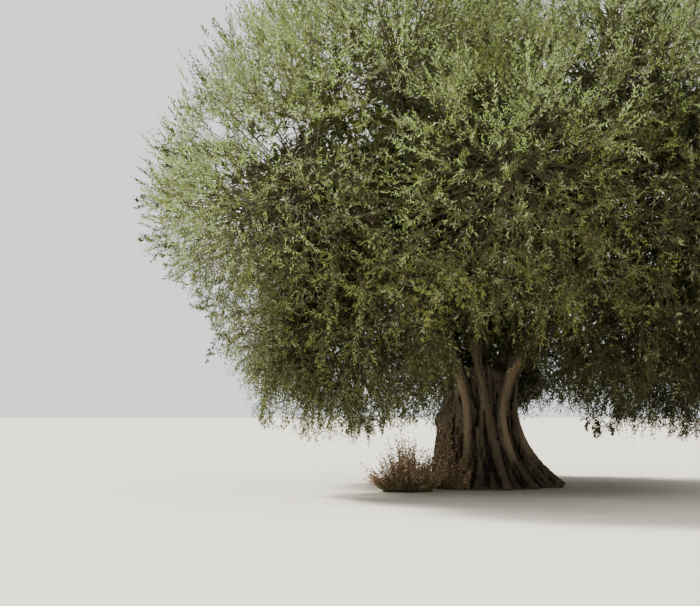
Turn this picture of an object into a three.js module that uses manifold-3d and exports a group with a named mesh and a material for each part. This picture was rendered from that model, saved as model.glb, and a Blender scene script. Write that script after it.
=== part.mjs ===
import * as THREE from "three";
import { mergeVertices } from "three/addons/utils/BufferGeometryUtils.js";
import Module from "manifold-3d";

// An old olive tree in millimetres, +Z up, seen from the front along +Y. The origin is on level ground in
// the middle of the foot. Bearings are in degrees, anticlockwise from +X as seen from above, so the front
// of the tree is at -90.

const treeHeight = 7000;
const crownReach = 4800; // from the trunk to the furthest tips
const forkHeight = 1650; // where the ribs of the trunk part
const armHeight = 2050; // where the ribs end and the boughs begin

const touchGap = 0.3; // between two pieces that meet
const limbClearance = 20; // between the foliage and the wood that it grows past
const spaceMargin = 0.05; // kept free between two masses, as a share of their size
const groundClearance = 12;

// The bole is a round column that swells at the foot and leans to the left above it.
const bole = { footRadius: 600, waistRadius: 390, topShare: 0.62, lean: -115, sides: 14, steps: 5 };

// The trunk is a bundle of ribs, fused to the bole below and free above the fork. Each has the place of its
// foot, of its waist and of its end, and its radius there. They go round from the front, and each carries
// the side mass of the same number. The last carries the top.
const ribRadius = { foot: 165, waist: 125, arm: 105 };
const ribs = [
  { name: "front", foot: [70, -690], waist: [-85, -400], arm: [-200, -420], waistZ: 1000, girth: 1.05 },
  { name: "front_right", foot: [515, -540], waist: [145, -400], arm: [735, -330], waistZ: 950, girth: 0.8 },
  { name: "right", foot: [850, -190], waist: [285, -60], arm: [560, 90], waistZ: 1150, girth: 1.0 },
  { name: "back_right", foot: [450, 580], waist: [180, 320], arm: [380, 640], waistZ: 1100, girth: 1.15 },
  { name: "back_left", foot: [-640, 440], waist: [-400, 240], arm: [-480, 600], waistZ: 1100, girth: 1.15 },
  { name: "left", foot: [-660, -240], waist: [-430, -20], arm: [-590, 300], waistZ: 1150, girth: 1.2 },
  { name: "front_left", foot: [-340, -600], waist: [-330, -345], arm: [-750, -290], waistZ: 870, girth: 0.86 },
  { name: "back", foot: [-80, 700], waist: [-90, 370], arm: [-60, 430], waistZ: 1100, girth: 1.15 },
];
const ribSides = 6;
const ribSteps = 7;
const ribSweep = 2.2; // how sharply a rib turns out to its foot and to its arm
const burl = { place: [-575, -120, 930], radius: 150 };

// Rounds of foliage: the bearings of the masses, how far out and how high their middles
// are, half their size outward, across and upward, the slope at which a bough comes in, how their shoots
// lean (down below zero), and where on a main bough the round's own boughs fork off.
const rounds = [
  {
    name: "side", count: 7, firstBearing: -90, bearingStep: 360 / 7, out: crownReach - 1640, height: 3720,
    reach: 1640, breadth: 1880, depth: 1720, rise: 15, lean: 0.1, fork: 0,
  },
  {
    name: "top", count: 1, firstBearing: 90, bearingStep: 0, out: 60, height: treeHeight - 1380,
    reach: 1500, breadth: 1500, depth: 1380, rise: 82, lean: 0.7, fork: 0,
  },
  {
    name: "skirt", count: 5, firstBearing: -36, bearingStep: 62.5, out: 2330, height: 2130,
    reach: 1600, breadth: 1750, depth: 1340, rise: -30, lean: -0.7, fork: 0.22,
  },
  {
    name: "shoulder", count: 5, firstBearing: -50, bearingStep: 72, out: 2330, height: 5230,
    reach: 1760, breadth: 1900, depth: 1480, rise: 58, lean: 0.5, fork: 0.4,
  },
];
const unevenness = 0.07; // share by which masses of one round differ in place and size
const seed = 1847;

const boughSides = 6;
const boughSteps = 4;
const boughEndRadius = 50;
const forkedRadius = 72; // of a bough that forks off another
const boughEntry = 0.62; // share of a mass's half size at which its bough ends
const stemSides = 5;
const stemPast = 0.25; // share of the half size that a stem runs on past the middle

const coreShare = 0.6; // size of the dense inner part of a mass against its reach
const coreRoughness = 0.14; // share by which the core's surface rises and falls
const shootsPerMass = 9;
const leavesPerShoot = 2; // beside the one at the tip
const leaf = { length: 500, width: 190, thickness: 30 };
const twigRadius = { root: 26, tip: 12 };
const leafReach = 0.98; // share of a leaf that stands out past the end of its shoot
const leafSpacing = 0.09; // between the leaves of a shoot, as a share of it
const leafSpread = 0.85; // how far the side leaves turn from their shoot
const shortestShoot = 60;
const goldenAngle = 2.39996; // between one leaf or shoot and the next, in radians

// Dried suckers beside the foot of the trunk.
const suckers = {
  name: "basal_shoots", middle: [-1130, -1080, 330], reach: 520, breadth: 560, depth: 330,
  bearing: 224, rise: 70, stemStart: [-500, -470, 130], stemRadius: 42, shoots: 9, lean: 0.9,
  leaf: { length: 150, width: 46, thickness: 9 }, twigRadius: { root: 13, tip: 7 },
};

const wasm = await Module();
wasm.setup();

const bark = new THREE.MeshStandardMaterial({ color: 0x6f5d4a, roughness: 0.95, metalness: 0 });
const youngBark = new THREE.MeshStandardMaterial({ color: 0x8b755c, roughness: 0.9, metalness: 0 });
const foliage = new THREE.MeshStandardMaterial({ color: 0x6d7743, roughness: 0.7, metalness: 0 });
const driedFoliage = new THREE.MeshStandardMaterial({ color: 0x7a5640, roughness: 0.85, metalness: 0 });

function generator(start) {
  let state = start;
  return () => {
    state = (state * 48271) % 2147483647;
    return state / 2147483647;
  };
}

function solidOf(geometry) {
  const bare = geometry.clone();
  bare.deleteAttribute("normal");
  bare.deleteAttribute("uv");
  const merged = mergeVertices(bare, 1e-4);
  return new wasm.Manifold(
    new wasm.Mesh({
      numProp: 3,
      vertProperties: merged.attributes.position.array,
      triVerts: new Uint32Array(merged.index.array),
    }),
  );
}

// The largest body of a solid, with any hollow sealed in it filled and any loose scrap dropped.
function oneBody(solid) {
  return solid.decompose().sort((a, b) => b.volume() - a.volume())[0];
}

// A named mesh whose own origin is at a chosen point of the tree.
function meshOf(name, solid, material, origin) {
  const { vertProperties, triVerts, numProp, numVert } = solid.getMesh();
  const positions = new Float32Array(numVert * 3);
  for (let i = 0; i < numVert; i++) {
    positions.set(vertProperties.subarray(i * numProp, i * numProp + 3), i * 3);
  }
  const geometry = new THREE.BufferGeometry();
  geometry.setAttribute("position", new THREE.BufferAttribute(positions, 3));
  geometry.setIndex(new THREE.BufferAttribute(new Uint32Array(triVerts), 1));
  geometry.translate(-origin.x, -origin.y, -origin.z);
  geometry.computeVertexNormals();
  const mesh = new THREE.Mesh(geometry, material);
  mesh.name = name;
  mesh.position.copy(origin);
  return mesh;
}

// A closed round tube along a curve. Grown by some millimetres it is that much thicker and longer.
function tubeSolid(curve, radiusAt, sides, steps, grown = 0) {
  const tube = new THREE.CylinderGeometry(1, 1, 1, sides, steps);
  const frames = curve.computeFrenetFrames(steps, false);
  const place = tube.attributes.position;
  const point = new THREE.Vector3();
  for (let i = 0; i < place.count; i++) {
    const ring = Math.round((place.getY(i) + 0.5) * steps);
    const radius = radiusAt(ring / steps) + grown;
    const onward = ring === 0 ? -grown : ring === steps ? grown : 0;
    point
      .copy(curve.getPointAt(ring / steps))
      .addScaledVector(frames.tangents[ring], onward)
      .addScaledVector(frames.normals[ring], place.getX(i) * radius)
      .addScaledVector(frames.binormals[ring], -place.getZ(i) * radius);
    place.setXYZ(i, point.x, point.y, point.z);
  }
  return solidOf(tube);
}

function bearingVector(degrees) {
  const angle = THREE.MathUtils.degToRad(degrees);
  return new THREE.Vector3(Math.cos(angle), Math.sin(angle), 0);
}

// The trunk

// One rib from below the ground to the flat end of its arm: it sweeps in from its foot to its waist, and
// out again to its arm.
class RibCurve extends THREE.Curve {
  constructor(rib) {
    super();
    this.rib = rib;
  }

  getPoint(t, target = new THREE.Vector3()) {
    const { foot, waist, arm, waistZ } = this.rib;
    const z = -60 + t * (armHeight + 60);
    const below = Math.max(0, 1 - z / waistZ) ** ribSweep;
    const above = Math.max(0, (z - waistZ) / (armHeight - waistZ)) ** ribSweep;
    const [x, y] = [0, 1].map((k) => waist[k] + (foot[k] - waist[k]) * below + (arm[k] - waist[k]) * above);
    return target.set(x, y, z);
  }
}

function ribRadiusAt(rib, share) {
  const up = share < 0.5
    ? THREE.MathUtils.lerp(ribRadius.foot, ribRadius.waist, share * 2)
    : THREE.MathUtils.lerp(ribRadius.waist, ribRadius.arm, share * 2 - 1);
  return up * rib.girth;
}

function boleSolid(grown) {
  const column = new THREE.CylinderGeometry(1, 1, forkHeight, bole.sides, bole.steps);
  column.rotateX(Math.PI / 2);
  const place = column.attributes.position;
  for (let i = 0; i < place.count; i++) {
    const share = place.getZ(i) / forkHeight + 0.5;
    const flare = (bole.footRadius - bole.waistRadius) * (1 - share) ** 2;
    const closing = share > 0.99 ? bole.topShare : 1;
    const radius = (bole.waistRadius + flare) * closing + grown;
    const aside = bole.lean * Math.sin(Math.PI * share);
    const z = share * forkHeight + (share > 0.99 ? grown : 0);
    place.setXYZ(i, place.getX(i) * radius + aside, place.getY(i) * radius, z);
  }
  return solidOf(column);
}

function trunkSolid(grown) {
  const knot = new THREE.IcosahedronGeometry(burl.radius + grown, 1).translate(...burl.place);
  const under = new THREE.BoxGeometry(4000, 4000, 1000).translate(0, 0, -500);
  const parts = ribs.map((rib) => {
    return tubeSolid(new RibCurve(rib), (t) => ribRadiusAt(rib, t), ribSides, ribSteps, grown);
  });
  return oneBody(wasm.Manifold.union([boleSolid(grown), solidOf(knot), ...parts]).subtract(solidOf(under)));
}

// The spaces of the masses

const random = generator(seed);

function uneven() {
  return 1 + unevenness * (2 * random() - 1);
}

// A mass fills an ellipsoid that faces away from the trunk.
function makeMass(name, bearing, middle, { reach, breadth, depth, rise }) {
  const outward = bearingVector(bearing);
  const across = new THREE.Vector3(-outward.y, outward.x, 0);
  return { name, bearing, outward, across, middle, reach, breadth, depth, rise };
}

function massesOf(round) {
  return Array.from({ length: round.count }, (_, i) => {
    const bearing = round.firstBearing + i * round.bearingStep;
    const size = { ...round, reach: round.reach * uneven(), depth: round.depth * uneven() };
    const out = round.out + round.reach - size.reach;
    const middle = bearingVector(bearing).multiplyScalar(out).setZ(round.height + round.depth - size.depth);
    const name = round.count > 1 ? `foliage_${round.name}_${i + 1}` : `foliage_${round.name}`;
    return { ...makeMass(name, bearing, middle, size), round };
  });
}

const crown = rounds.flatMap(massesOf);

// How far out in a mass a point is: 1 on its surface.
function depthIn(mass, point) {
  const way = point.clone().sub(mass.middle);
  const outward = way.dot(mass.outward) / mass.reach;
  const across = way.dot(mass.across) / mass.breadth;
  return Math.hypot(outward, across, way.z / mass.depth);
}

// A mass keeps to the points that lie deeper in it than in any other, above the ground.
function inSpace(mass, point) {
  const own = depthIn(mass, point);
  if (own > 1 || point.z < groundClearance) {
    return false;
  }
  return crown.every((other) => other === mass || depthIn(other, point) > own + spaceMargin);
}

function reachOf(mass, direction) {
  const step = 20;
  const point = mass.middle.clone();
  let reach = 0;
  while (inSpace(mass, point.addScaledVector(direction, step))) {
    reach += step;
  }
  return reach;
}

// The boughs

function boughCurve(start, startWay, end, endWay) {
  const handle = start.distanceTo(end) * 0.36;
  return new THREE.CubicBezierCurve3(
    start,
    start.clone().addScaledVector(startWay, handle),
    end.clone().addScaledVector(endWay, -handle),
    end,
  );
}

function arrivalIn(mass) {
  const slope = THREE.MathUtils.degToRad(mass.rise);
  return mass.outward.clone().multiplyScalar(Math.cos(slope)).setZ(Math.sin(slope));
}

// A tapering bough from a start point to where it enters its mass.
function makeBough(name, mass, start, startWay, startRadius) {
  const arrival = arrivalIn(mass);
  const end = mass.middle.clone().addScaledVector(arrival, -boughEntry * Math.min(mass.reach, mass.depth));
  const curve = boughCurve(start, startWay, end, arrival);
  const radiusAt = (t) => THREE.MathUtils.lerp(startRadius, boughEndRadius, t);
  const bough = { name, mass, curve, radiusAt };
  bough.solid = (grown) => tubeSolid(curve, radiusAt, boughSides, boughSteps, grown);
  return bough;
}

function bearingGap(a, b) {
  return Math.abs(((a - b + 540) % 360) - 180);
}

// Each arm of the trunk runs on into one main bough.
function mainBoughs() {
  return ribs.map((rib, i) => {
    const curve = new RibCurve(rib);
    const way = curve.getTangentAt(1);
    const start = curve.getPointAt(1).addScaledVector(way, touchGap);
    return makeBough(`bough_${rib.name}`, crown[i], start, way, ribRadiusAt(rib, 1));
  });
}

// The other boughs fork off the main bough whose bearing is nearest.
function forkedBough(mass, mains) {
  const hosts = mains.filter((bough) => bough.mass.round.name === "side");
  hosts.sort((a, b) => bearingGap(a.mass.bearing, mass.bearing) - bearingGap(b.mass.bearing, mass.bearing));
  const host = hosts[0].curve;
  const way = host.getTangentAt(mass.round.fork).lerp(arrivalIn(mass), 0.4).normalize();
  const start = host.getPointAt(mass.round.fork);
  return makeBough(mass.name.replace("foliage", "bough"), mass, start, way, forkedRadius);
}

// The foliage

// One spray of leaves as a long blade with a ridge down its back, its root sunk in a twig.
function leafSolid(root, way, normal, size) {
  const side = new THREE.Vector3().crossVectors(way, normal).normalize();
  const face = new THREE.Vector3().crossVectors(side, way);
  const blade = new THREE.SphereGeometry(1, 3, 2).rotateY(Math.PI / 2);
  blade.scale(size.width / Math.sqrt(3), size.length / 2, size.thickness / 1.5);
  blade.applyMatrix4(new THREE.Matrix4().makeBasis(side, way, face));
  const middle = root.clone().addScaledVector(way, size.length / 2);
  blade.translate(middle.x, middle.y, middle.z);
  return solidOf(blade);
}

function clearOfWood(point, wood) {
  return wood.every((line) => line.every(({ place, radius }) => place.distanceTo(point) > radius));
}

// Points along every limb, close enough together to measure a distance from.
function woodLine(curve, radiusAt) {
  const count = 24;
  return Array.from({ length: count + 1 }, (_, i) => {
    const share = i / count;
    return { place: curve.getPointAt(share), radius: radiusAt(share) + 2 * limbClearance };
  });
}

// Directions spread evenly about a mass. The first is the way that its bough comes in.
function shootDirection(mass, i, count, turn) {
  const pole = arrivalIn(mass);
  const third = new THREE.Vector3().crossVectors(pole, mass.across);
  const along = 1 - (2 * i) / count;
  const flat = Math.sqrt(1 - along * along);
  const angle = i * goldenAngle + turn;
  return pole
    .multiplyScalar(along)
    .addScaledVector(mass.across, flat * Math.cos(angle))
    .addScaledVector(third, flat * Math.sin(angle));
}

// A shoot runs from the stem to the edge of the space, and turns up or hangs down on its way.
function shootCurve(mass, stem, direction, rootShare, growth) {
  const reach = reachOf(mass, direction) - leafReach * growth.leaf.length;
  const tip = mass.middle.clone().addScaledVector(direction, Math.max(shortestShoot, reach));
  const start = stem.getPointAt(rootShare);
  const way = direction.clone().setZ(direction.z + growth.lean).normalize();
  const bend = tip.clone().addScaledVector(way, -0.4 * start.distanceTo(tip));
  return new THREE.QuadraticBezierCurve3(start, bend, tip);
}

function pointsClear(points, mass, wood) {
  return points.every((point) => inSpace(mass, point) && clearOfWood(point, wood));
}

// The leaf at the tip of a shoot, and those that spread from its sides below it.
function leavesOf(curve, direction, spin, mass, growth, wood) {
  const solids = [];
  for (let k = 0; k <= growth.leaves; k++) {
    const share = 1 - leafSpacing * k;
    const angle = spin + k * goldenAngle;
    const aside = new THREE.Vector3(Math.cos(angle), Math.sin(angle), 0.3 * Math.sin(3 * angle));
    const way = k === 0 ? direction.clone() : curve.getTangentAt(share).addScaledVector(aside, leafSpread);
    way.normalize();
    const root = curve.getPointAt(share).addScaledVector(way, -growth.twigRadius.tip * 0.8);
    const across = new THREE.Vector3().crossVectors(way, aside).normalize();
    const along = (t) => root.clone().addScaledVector(way, growth.leaf.length * t);
    const edges = [-0.5, 0.5].map((t) => along(0.5).addScaledVector(across, growth.leaf.width * t));
    if (pointsClear([...[0.3, 0.5, 0.7, 0.85, 1].map(along), ...edges], mass, wood)) {
      const normal = new THREE.Vector3().crossVectors(across, way);
      solids.push(leafSolid(root, way, normal, growth.leaf));
    }
  }
  return solids;
}

// The twigs and leaves of one mass. What would leave its space or touch a limb is skipped.
function shootSolids(mass, stem, growth, wood, draw) {
  const solids = [];
  const turn = 2 * Math.PI * draw();
  const radiusAt = (t) => THREE.MathUtils.lerp(growth.twigRadius.root, growth.twigRadius.tip, t);
  for (let i = 0; i < growth.shoots; i++) {
    const direction = shootDirection(mass, i, growth.shoots, turn);
    const rootShare = 0.15 + 0.75 * draw();
    const spin = 2 * Math.PI * draw();
    const curve = shootCurve(mass, stem, direction, rootShare, growth);
    const outer = [0.6, 0.75, 0.9, 1].map((t) => curve.getPointAt(t));
    if (pointsClear(outer, mass, wood)) {
      solids.push(tubeSolid(curve, radiusAt, 3, 2));
      solids.push(...leavesOf(curve, direction, spin, mass, growth, wood));
    }
  }
  return solids;
}

// The dense inner part of a mass, cut clear of the wood around it.
function coreSolid(mass, wood, draw) {
  const ball = new THREE.IcosahedronGeometry(1, 1);
  ball.deleteAttribute("normal");
  ball.deleteAttribute("uv");
  const core = mergeVertices(ball);
  const place = core.attributes.position;
  const direction = new THREE.Vector3();
  for (let i = 0; i < place.count; i++) {
    direction.fromBufferAttribute(place, i).normalize();
    const share = coreShare * (1 + coreRoughness * (2 * draw() - 1));
    direction.multiplyScalar(share * reachOf(mass, direction)).add(mass.middle);
    place.setXYZ(i, direction.x, direction.y, direction.z);
  }
  return solidOf(core).subtract(wood);
}

// A mass of the crown: its stem starts just off the tip of its bough and runs past its middle.
function crownMassSolid(bough, woodAround, woodLines, index) {
  const { mass, curve } = bough;
  const way = curve.getTangentAt(1);
  const start = curve.getPointAt(1).addScaledVector(way, touchGap);
  const end = mass.middle.clone().addScaledVector(arrivalIn(mass), stemPast * mass.reach);
  const stem = boughCurve(start, way, end, way);
  const stemRadius = (t) => THREE.MathUtils.lerp(boughEndRadius, twigRadius.root, t);
  const growth = { shoots: shootsPerMass, leaves: leavesPerShoot, lean: mass.round.lean, leaf, twigRadius };
  const draw = generator(seed + 101 * (index + 1));
  return oneBody(
    wasm.Manifold.union([
      tubeSolid(stem, stemRadius, stemSides, 3),
      ...shootSolids(mass, stem, growth, woodLines, draw),
      coreSolid(mass, woodAround, draw),
    ]),
  );
}

// The suckers: a stem out of the side of the foot, and shoots that rise from it.
function suckerSolid(trunkGrown) {
  const mass = makeMass(suckers.name, suckers.bearing, new THREE.Vector3(...suckers.middle), suckers);
  const start = new THREE.Vector3(...suckers.stemStart);
  const end = mass.middle.clone().addScaledVector(mass.outward, 0.4 * mass.reach).setZ(start.z);
  const stem = new THREE.LineCurve3(start, end);
  const stemRadius = (t) => THREE.MathUtils.lerp(suckers.stemRadius, suckers.twigRadius.root, t);
  const growth = { ...suckers, leaves: leavesPerShoot };
  const draw = generator(seed);
  const stemSolid = tubeSolid(stem, stemRadius, stemSides, 4).subtract(trunkGrown);
  return oneBody(wasm.Manifold.union([oneBody(stemSolid), ...shootSolids(mass, stem, growth, [], draw)]));
}

// The tree

const tree = new THREE.Group();
const boughGroup = new THREE.Group();
const crownGroup = new THREE.Group();
tree.add(boughGroup, crownGroup);

tree.add(meshOf("trunk", trunkSolid(0), bark, new THREE.Vector3()));
const trunkGrown = trunkSolid(touchGap);

const mains = mainBoughs();
const forked = crown
  .filter((mass) => mass.round.fork > 0)
  .map((mass) => forkedBough(mass, mains));
const boughs = [...mains, ...forked];

// A bough that forks off another is cut clear of it.
const mainGrown = wasm.Manifold.union([trunkGrown, ...mains.map((bough) => bough.solid(touchGap))]);
for (const bough of boughs) {
  const whole = bough.solid(0);
  const cut = forked.includes(bough) ? oneBody(whole.subtract(mainGrown)) : whole;
  boughGroup.add(meshOf(bough.name, cut, bough.mass.round.fork ? youngBark : bark, bough.curve.v0));
}

const woodAround = wasm.Manifold.union([trunkGrown, ...boughs.map((bough) => bough.solid(limbClearance))]);
const ribLines = ribs.map((rib) => woodLine(new RibCurve(rib), (t) => ribRadiusAt(rib, t)));
const woodLines = [...ribLines, ...boughs.map((bough) => woodLine(bough.curve, bough.radiusAt))];
boughs.forEach((bough, i) => {
  const solid = crownMassSolid(bough, woodAround, woodLines, i);
  crownGroup.add(meshOf(bough.mass.name, solid, foliage, bough.mass.middle));
});

tree.add(meshOf(suckers.name, suckerSolid(trunkGrown), driedFoliage, new THREE.Vector3(...suckers.middle)));

export default tree;
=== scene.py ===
import math
import time
import bmesh
import bpy
import numpy as np
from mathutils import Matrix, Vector, kdtree, noise


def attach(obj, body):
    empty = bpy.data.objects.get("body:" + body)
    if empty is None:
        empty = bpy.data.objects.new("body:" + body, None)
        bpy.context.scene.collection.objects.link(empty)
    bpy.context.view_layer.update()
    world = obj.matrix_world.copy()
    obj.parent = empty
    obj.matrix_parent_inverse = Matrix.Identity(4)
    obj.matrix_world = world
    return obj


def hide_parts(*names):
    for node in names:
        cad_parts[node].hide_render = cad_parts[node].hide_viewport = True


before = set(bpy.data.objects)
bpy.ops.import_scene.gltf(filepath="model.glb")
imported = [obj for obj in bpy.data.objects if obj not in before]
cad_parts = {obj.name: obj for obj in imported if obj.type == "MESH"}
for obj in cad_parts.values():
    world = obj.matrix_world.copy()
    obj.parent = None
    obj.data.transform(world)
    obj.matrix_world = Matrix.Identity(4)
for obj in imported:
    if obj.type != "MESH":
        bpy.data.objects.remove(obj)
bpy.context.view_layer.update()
startTime = time.time()
up = np.array([0.0, 0.0, 1.0])


def report(words):
    print(f"{words} ({time.time() - startTime:.1f} s)")


# camera, as the photo was taken

cameraView = {
    "photoWidth": 700,
    "photoHeight": 606,
    "focalPixels": 1500.0,
    "horizonRow": 395.0,
    "trunkColumn": 489.5,  # middle of the foot of the trunk
    "distance": 20.0,  # metres
    "eyeHeight": 1.213,
    "sensor": 36.0,
    "farthest": 200.0,
}


def makeCamera(setup):
    data = bpy.data.cameras.new("camera")
    data.sensor_width = setup["sensor"]
    data.lens = setup["focalPixels"] / setup["photoWidth"] * setup["sensor"]
    data.clip_end = setup["farthest"]
    tilt = math.atan((setup["horizonRow"] - setup["photoHeight"] / 2) / setup["focalPixels"])
    aside = (setup["trunkColumn"] - setup["photoWidth"] / 2) / setup["focalPixels"] * setup["distance"]
    camera = bpy.data.objects.new("camera", data)
    camera.location = (-aside, -setup["distance"], setup["eyeHeight"])
    camera.rotation_euler = (math.radians(90) + tilt, 0, 0)
    bpy.context.collection.objects.link(camera)
    bpy.context.scene.camera = camera


makeCamera(cameraView)


# light and floor

studio = {
    "sun": {"power": 12.0, "from": (-0.60, 0.46, 0.66), "colour": (1.0, 0.98, 0.88), "softness": 8},  # degrees
    "lamps": {
        "fill": {"power": 8.5, "from": (-9.0, -15.0, 7.0), "at": (0, 0, 3), "size": 9.0, "spread": 180},
        # light thrown back on to the trunk by the ground
        "foot": {"power": 4.3, "from": (-2.0, -9.4, 0.7), "at": (-0.1, 0, 0.75), "size": 2.0, "spread": 40},
    },
    "lampColour": (1.0, 0.92, 0.81),
    "sky": (0.93, 0.92, 0.88),
    "skyPower": (0.025, 1.9),  # near the ground, overhead
    "backdrop": (0.81, 0.85, 0.85),  # seen behind the tree, and gives it no light
    "backdropPower": 1.6,
    "floorSize": 120.0,
    "floorColour": (0.60, 0.57, 0.51, 1),
    "floorRoughness": 0.9,
}


def aim(lamp, way):
    lamp.rotation_euler = Vector(way).to_track_quat("-Z", "Y").to_euler()


def makeLamps(setup):
    sun = bpy.data.lights.new("sun", "SUN")
    sun.energy, sun.color = setup["sun"]["power"], setup["sun"]["colour"]
    sun.angle = math.radians(setup["sun"]["softness"])
    sunLamp = bpy.data.objects.new("sun", sun)
    aim(sunLamp, [-c for c in setup["sun"]["from"]])
    bpy.context.collection.objects.link(sunLamp)
    for name, plan in setup["lamps"].items():
        light = bpy.data.lights.new(name, "AREA")
        light.energy, light.size, light.color = plan["power"], plan["size"], setup["lampColour"]
        light.spread = math.radians(plan["spread"])
        lamp = bpy.data.objects.new(name, light)
        lamp.location = plan["from"]
        aim(lamp, Vector(plan["at"]) - lamp.location)
        bpy.context.collection.objects.link(lamp)


def makeSky(setup):
    world = bpy.data.worlds.new("studio")
    world.use_nodes = True
    nodes, links = world.node_tree.nodes, world.node_tree.links
    light = nodes["Background"]
    light.inputs["Color"].default_value = (*setup["sky"], 1)
    way = nodes.new("ShaderNodeTexCoord")
    split = nodes.new("ShaderNodeSeparateXYZ")
    power = nodes.new("ShaderNodeMapRange")
    links.new(way.outputs["Generated"], split.inputs[0])
    links.new(split.outputs["Z"], power.inputs["Value"])
    for socket, value in zip(("To Min", "To Max"), setup["skyPower"]):
        power.inputs[socket].default_value = value
    links.new(power.outputs["Result"], light.inputs["Strength"])
    backdrop = nodes.new("ShaderNodeBackground")
    backdrop.inputs["Color"].default_value = (*setup["backdrop"], 1)
    backdrop.inputs["Strength"].default_value = setup["backdropPower"]
    seen = nodes.new("ShaderNodeLightPath")
    choice = nodes.new("ShaderNodeMixShader")
    links.new(seen.outputs["Is Camera Ray"], choice.inputs["Fac"])
    links.new(light.outputs[0], choice.inputs[1])
    links.new(backdrop.outputs[0], choice.inputs[2])
    links.new(choice.outputs[0], nodes["World Output"].inputs["Surface"])
    bpy.context.scene.world = world


def makeFloor(setup):
    bpy.ops.mesh.primitive_plane_add(size=setup["floorSize"], location=(0, 0, 0))
    floor = bpy.context.object
    floor.name = "floor"
    material = bpy.data.materials.new("floor")
    material.use_nodes = True
    shader = material.node_tree.nodes["Principled BSDF"]
    shader.inputs["Base Color"].default_value = setup["floorColour"]
    shader.inputs["Roughness"].default_value = setup["floorRoughness"]
    floor.data.materials.append(material)


makeLamps(studio)
makeSky(studio)
makeFloor(studio)
report("camera and studio ready")


# the tree's plan: the same named sizes and the same seeded rule as its solids, in metres

trunkPlan = {
    "forkHeight": 1.65,
    "armHeight": 2.05,
    "ribSweep": 2.2,
    "below": -0.06,  # where the ribs begin
    "ribRadius": (0.165, 0.125, 0.105),  # foot, waist, arm
    "boleFoot": 0.60,
    "boleWaist": 0.39,
    "boleLean": -0.115,
}
# foot, waist, arm, height of the waist, girth
ribPlans = {
    "front": ((0.07, -0.69), (-0.085, -0.40), (-0.20, -0.42), 1.00, 1.05),
    "front_right": ((0.515, -0.54), (0.145, -0.40), (0.735, -0.33), 0.95, 0.80),
    "right": ((0.85, -0.19), (0.285, -0.06), (0.56, 0.09), 1.15, 1.0),
    "back_right": ((0.45, 0.58), (0.18, 0.32), (0.38, 0.64), 1.10, 1.15),
    "back_left": ((-0.64, 0.44), (-0.40, 0.24), (-0.48, 0.60), 1.10, 1.15),
    "left": ((-0.66, -0.24), (-0.43, -0.02), (-0.59, 0.30), 1.15, 1.2),
    "front_left": ((-0.34, -0.60), (-0.33, -0.345), (-0.75, -0.29), 0.87, 0.86),
    "back": ((-0.08, 0.70), (-0.09, 0.37), (-0.06, 0.43), 1.10, 1.15),
}
crownPlan = {
    "height": 7.0,
    "reach": 4.8,
    "unevenness": 0.07,
    "seed": 1847,
    "spaceMargin": 0.05,
    "ground": 0.012,
    "rayStep": 0.02,  # how finely the room round a mass is measured, and how far
    "raySteps": 130,
    "boughEnd": 0.05,
    "forkedRadius": 0.072,
    "forkWay": (0.6, 0.4),  # how much a forked bough starts along its host and along its own arrival
    "boughEntry": 0.62,
    "boughSweep": 0.36,
    "stemPast": 0.25,
    "leafRoom": 0.98 * 0.5,  # from the end of a shoot of the solids to the edge of its space
    "goldenAngle": 2.39996,
}
linePoints = {"rib": 60, "bough": 40, "draft": 200}
roundPlans = [
    {"name": "side", "count": 7, "first": -90, "step": 360 / 7, "out": crownPlan["reach"] - 1.64, "height": 3.72,
     "reach": 1.64, "breadth": 1.88, "depth": 1.72, "rise": 15, "lean": 0.1, "fork": 0},
    {"name": "top", "count": 1, "first": 90, "step": 0, "out": 0.06, "height": crownPlan["height"] - 1.38,
     "reach": 1.50, "breadth": 1.50, "depth": 1.38, "rise": 82, "lean": 0.7, "fork": 0},
    {"name": "skirt", "count": 5, "first": -36, "step": 62.5, "out": 2.33, "height": 2.13,
     "reach": 1.60, "breadth": 1.75, "depth": 1.34, "rise": -30, "lean": -0.7, "fork": 0.22},
    {"name": "shoulder", "count": 5, "first": -50, "step": 72, "out": 2.33, "height": 5.23,
     "reach": 1.76, "breadth": 1.90, "depth": 1.48, "rise": 58, "lean": 0.5, "fork": 0.4},
]


def generator(seed):
    state = seed
    while True:
        state = (state * 48271) % 2147483647
        yield state / 2147483647


def unit(v):
    return v / np.maximum(np.linalg.norm(v, axis=-1, keepdims=True), 1e-9)


def rise(value, start, over):  # 0 up to the start, 1 past the end
    return np.clip((value - start) / over, 0, 1)


def fall(value, start, over):  # 1 down from the start, 0 at the end
    return np.clip((start - value) / over, 0, 1)


def around(first, second, angle):  # between two directions
    return first * np.cos(angle)[..., None] + second * np.sin(angle)[..., None]


def bearingVector(degrees):
    return np.array([math.cos(math.radians(degrees)), math.sin(math.radians(degrees)), 0.0])


def makeMasses():
    draw = generator(crownPlan["seed"])
    masses = []
    for plan in roundPlans:
        for i in range(plan["count"]):
            bearing = plan["first"] + i * plan["step"]
            uneven = [1 + crownPlan["unevenness"] * (2 * next(draw) - 1) for _ in range(2)]
            reach, depth = plan["reach"] * uneven[0], plan["depth"] * uneven[1]
            middle = bearingVector(bearing) * (plan["out"] + plan["reach"] - reach)
            middle[2] = plan["height"] + plan["depth"] - depth
            outward = bearingVector(bearing)
            slope = math.radians(plan["rise"])
            name = f"foliage_{plan['name']}" + (f"_{i + 1}" if plan["count"] > 1 else "")
            masses.append({
                "name": name, "plan": plan, "bearing": bearing, "middle": middle, "outward": outward,
                "across": np.array([-outward[1], outward[0], 0.0]), "size": (reach, plan["breadth"], depth),
                "arrival": outward * math.cos(slope) + up * math.sin(slope),
            })
    return masses


masses = makeMasses()
middles = np.array([m["middle"] for m in masses])
axesOf = np.array([[m["outward"], m["across"], up] for m in masses])
sizes = np.array([m["size"] for m in masses])


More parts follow.
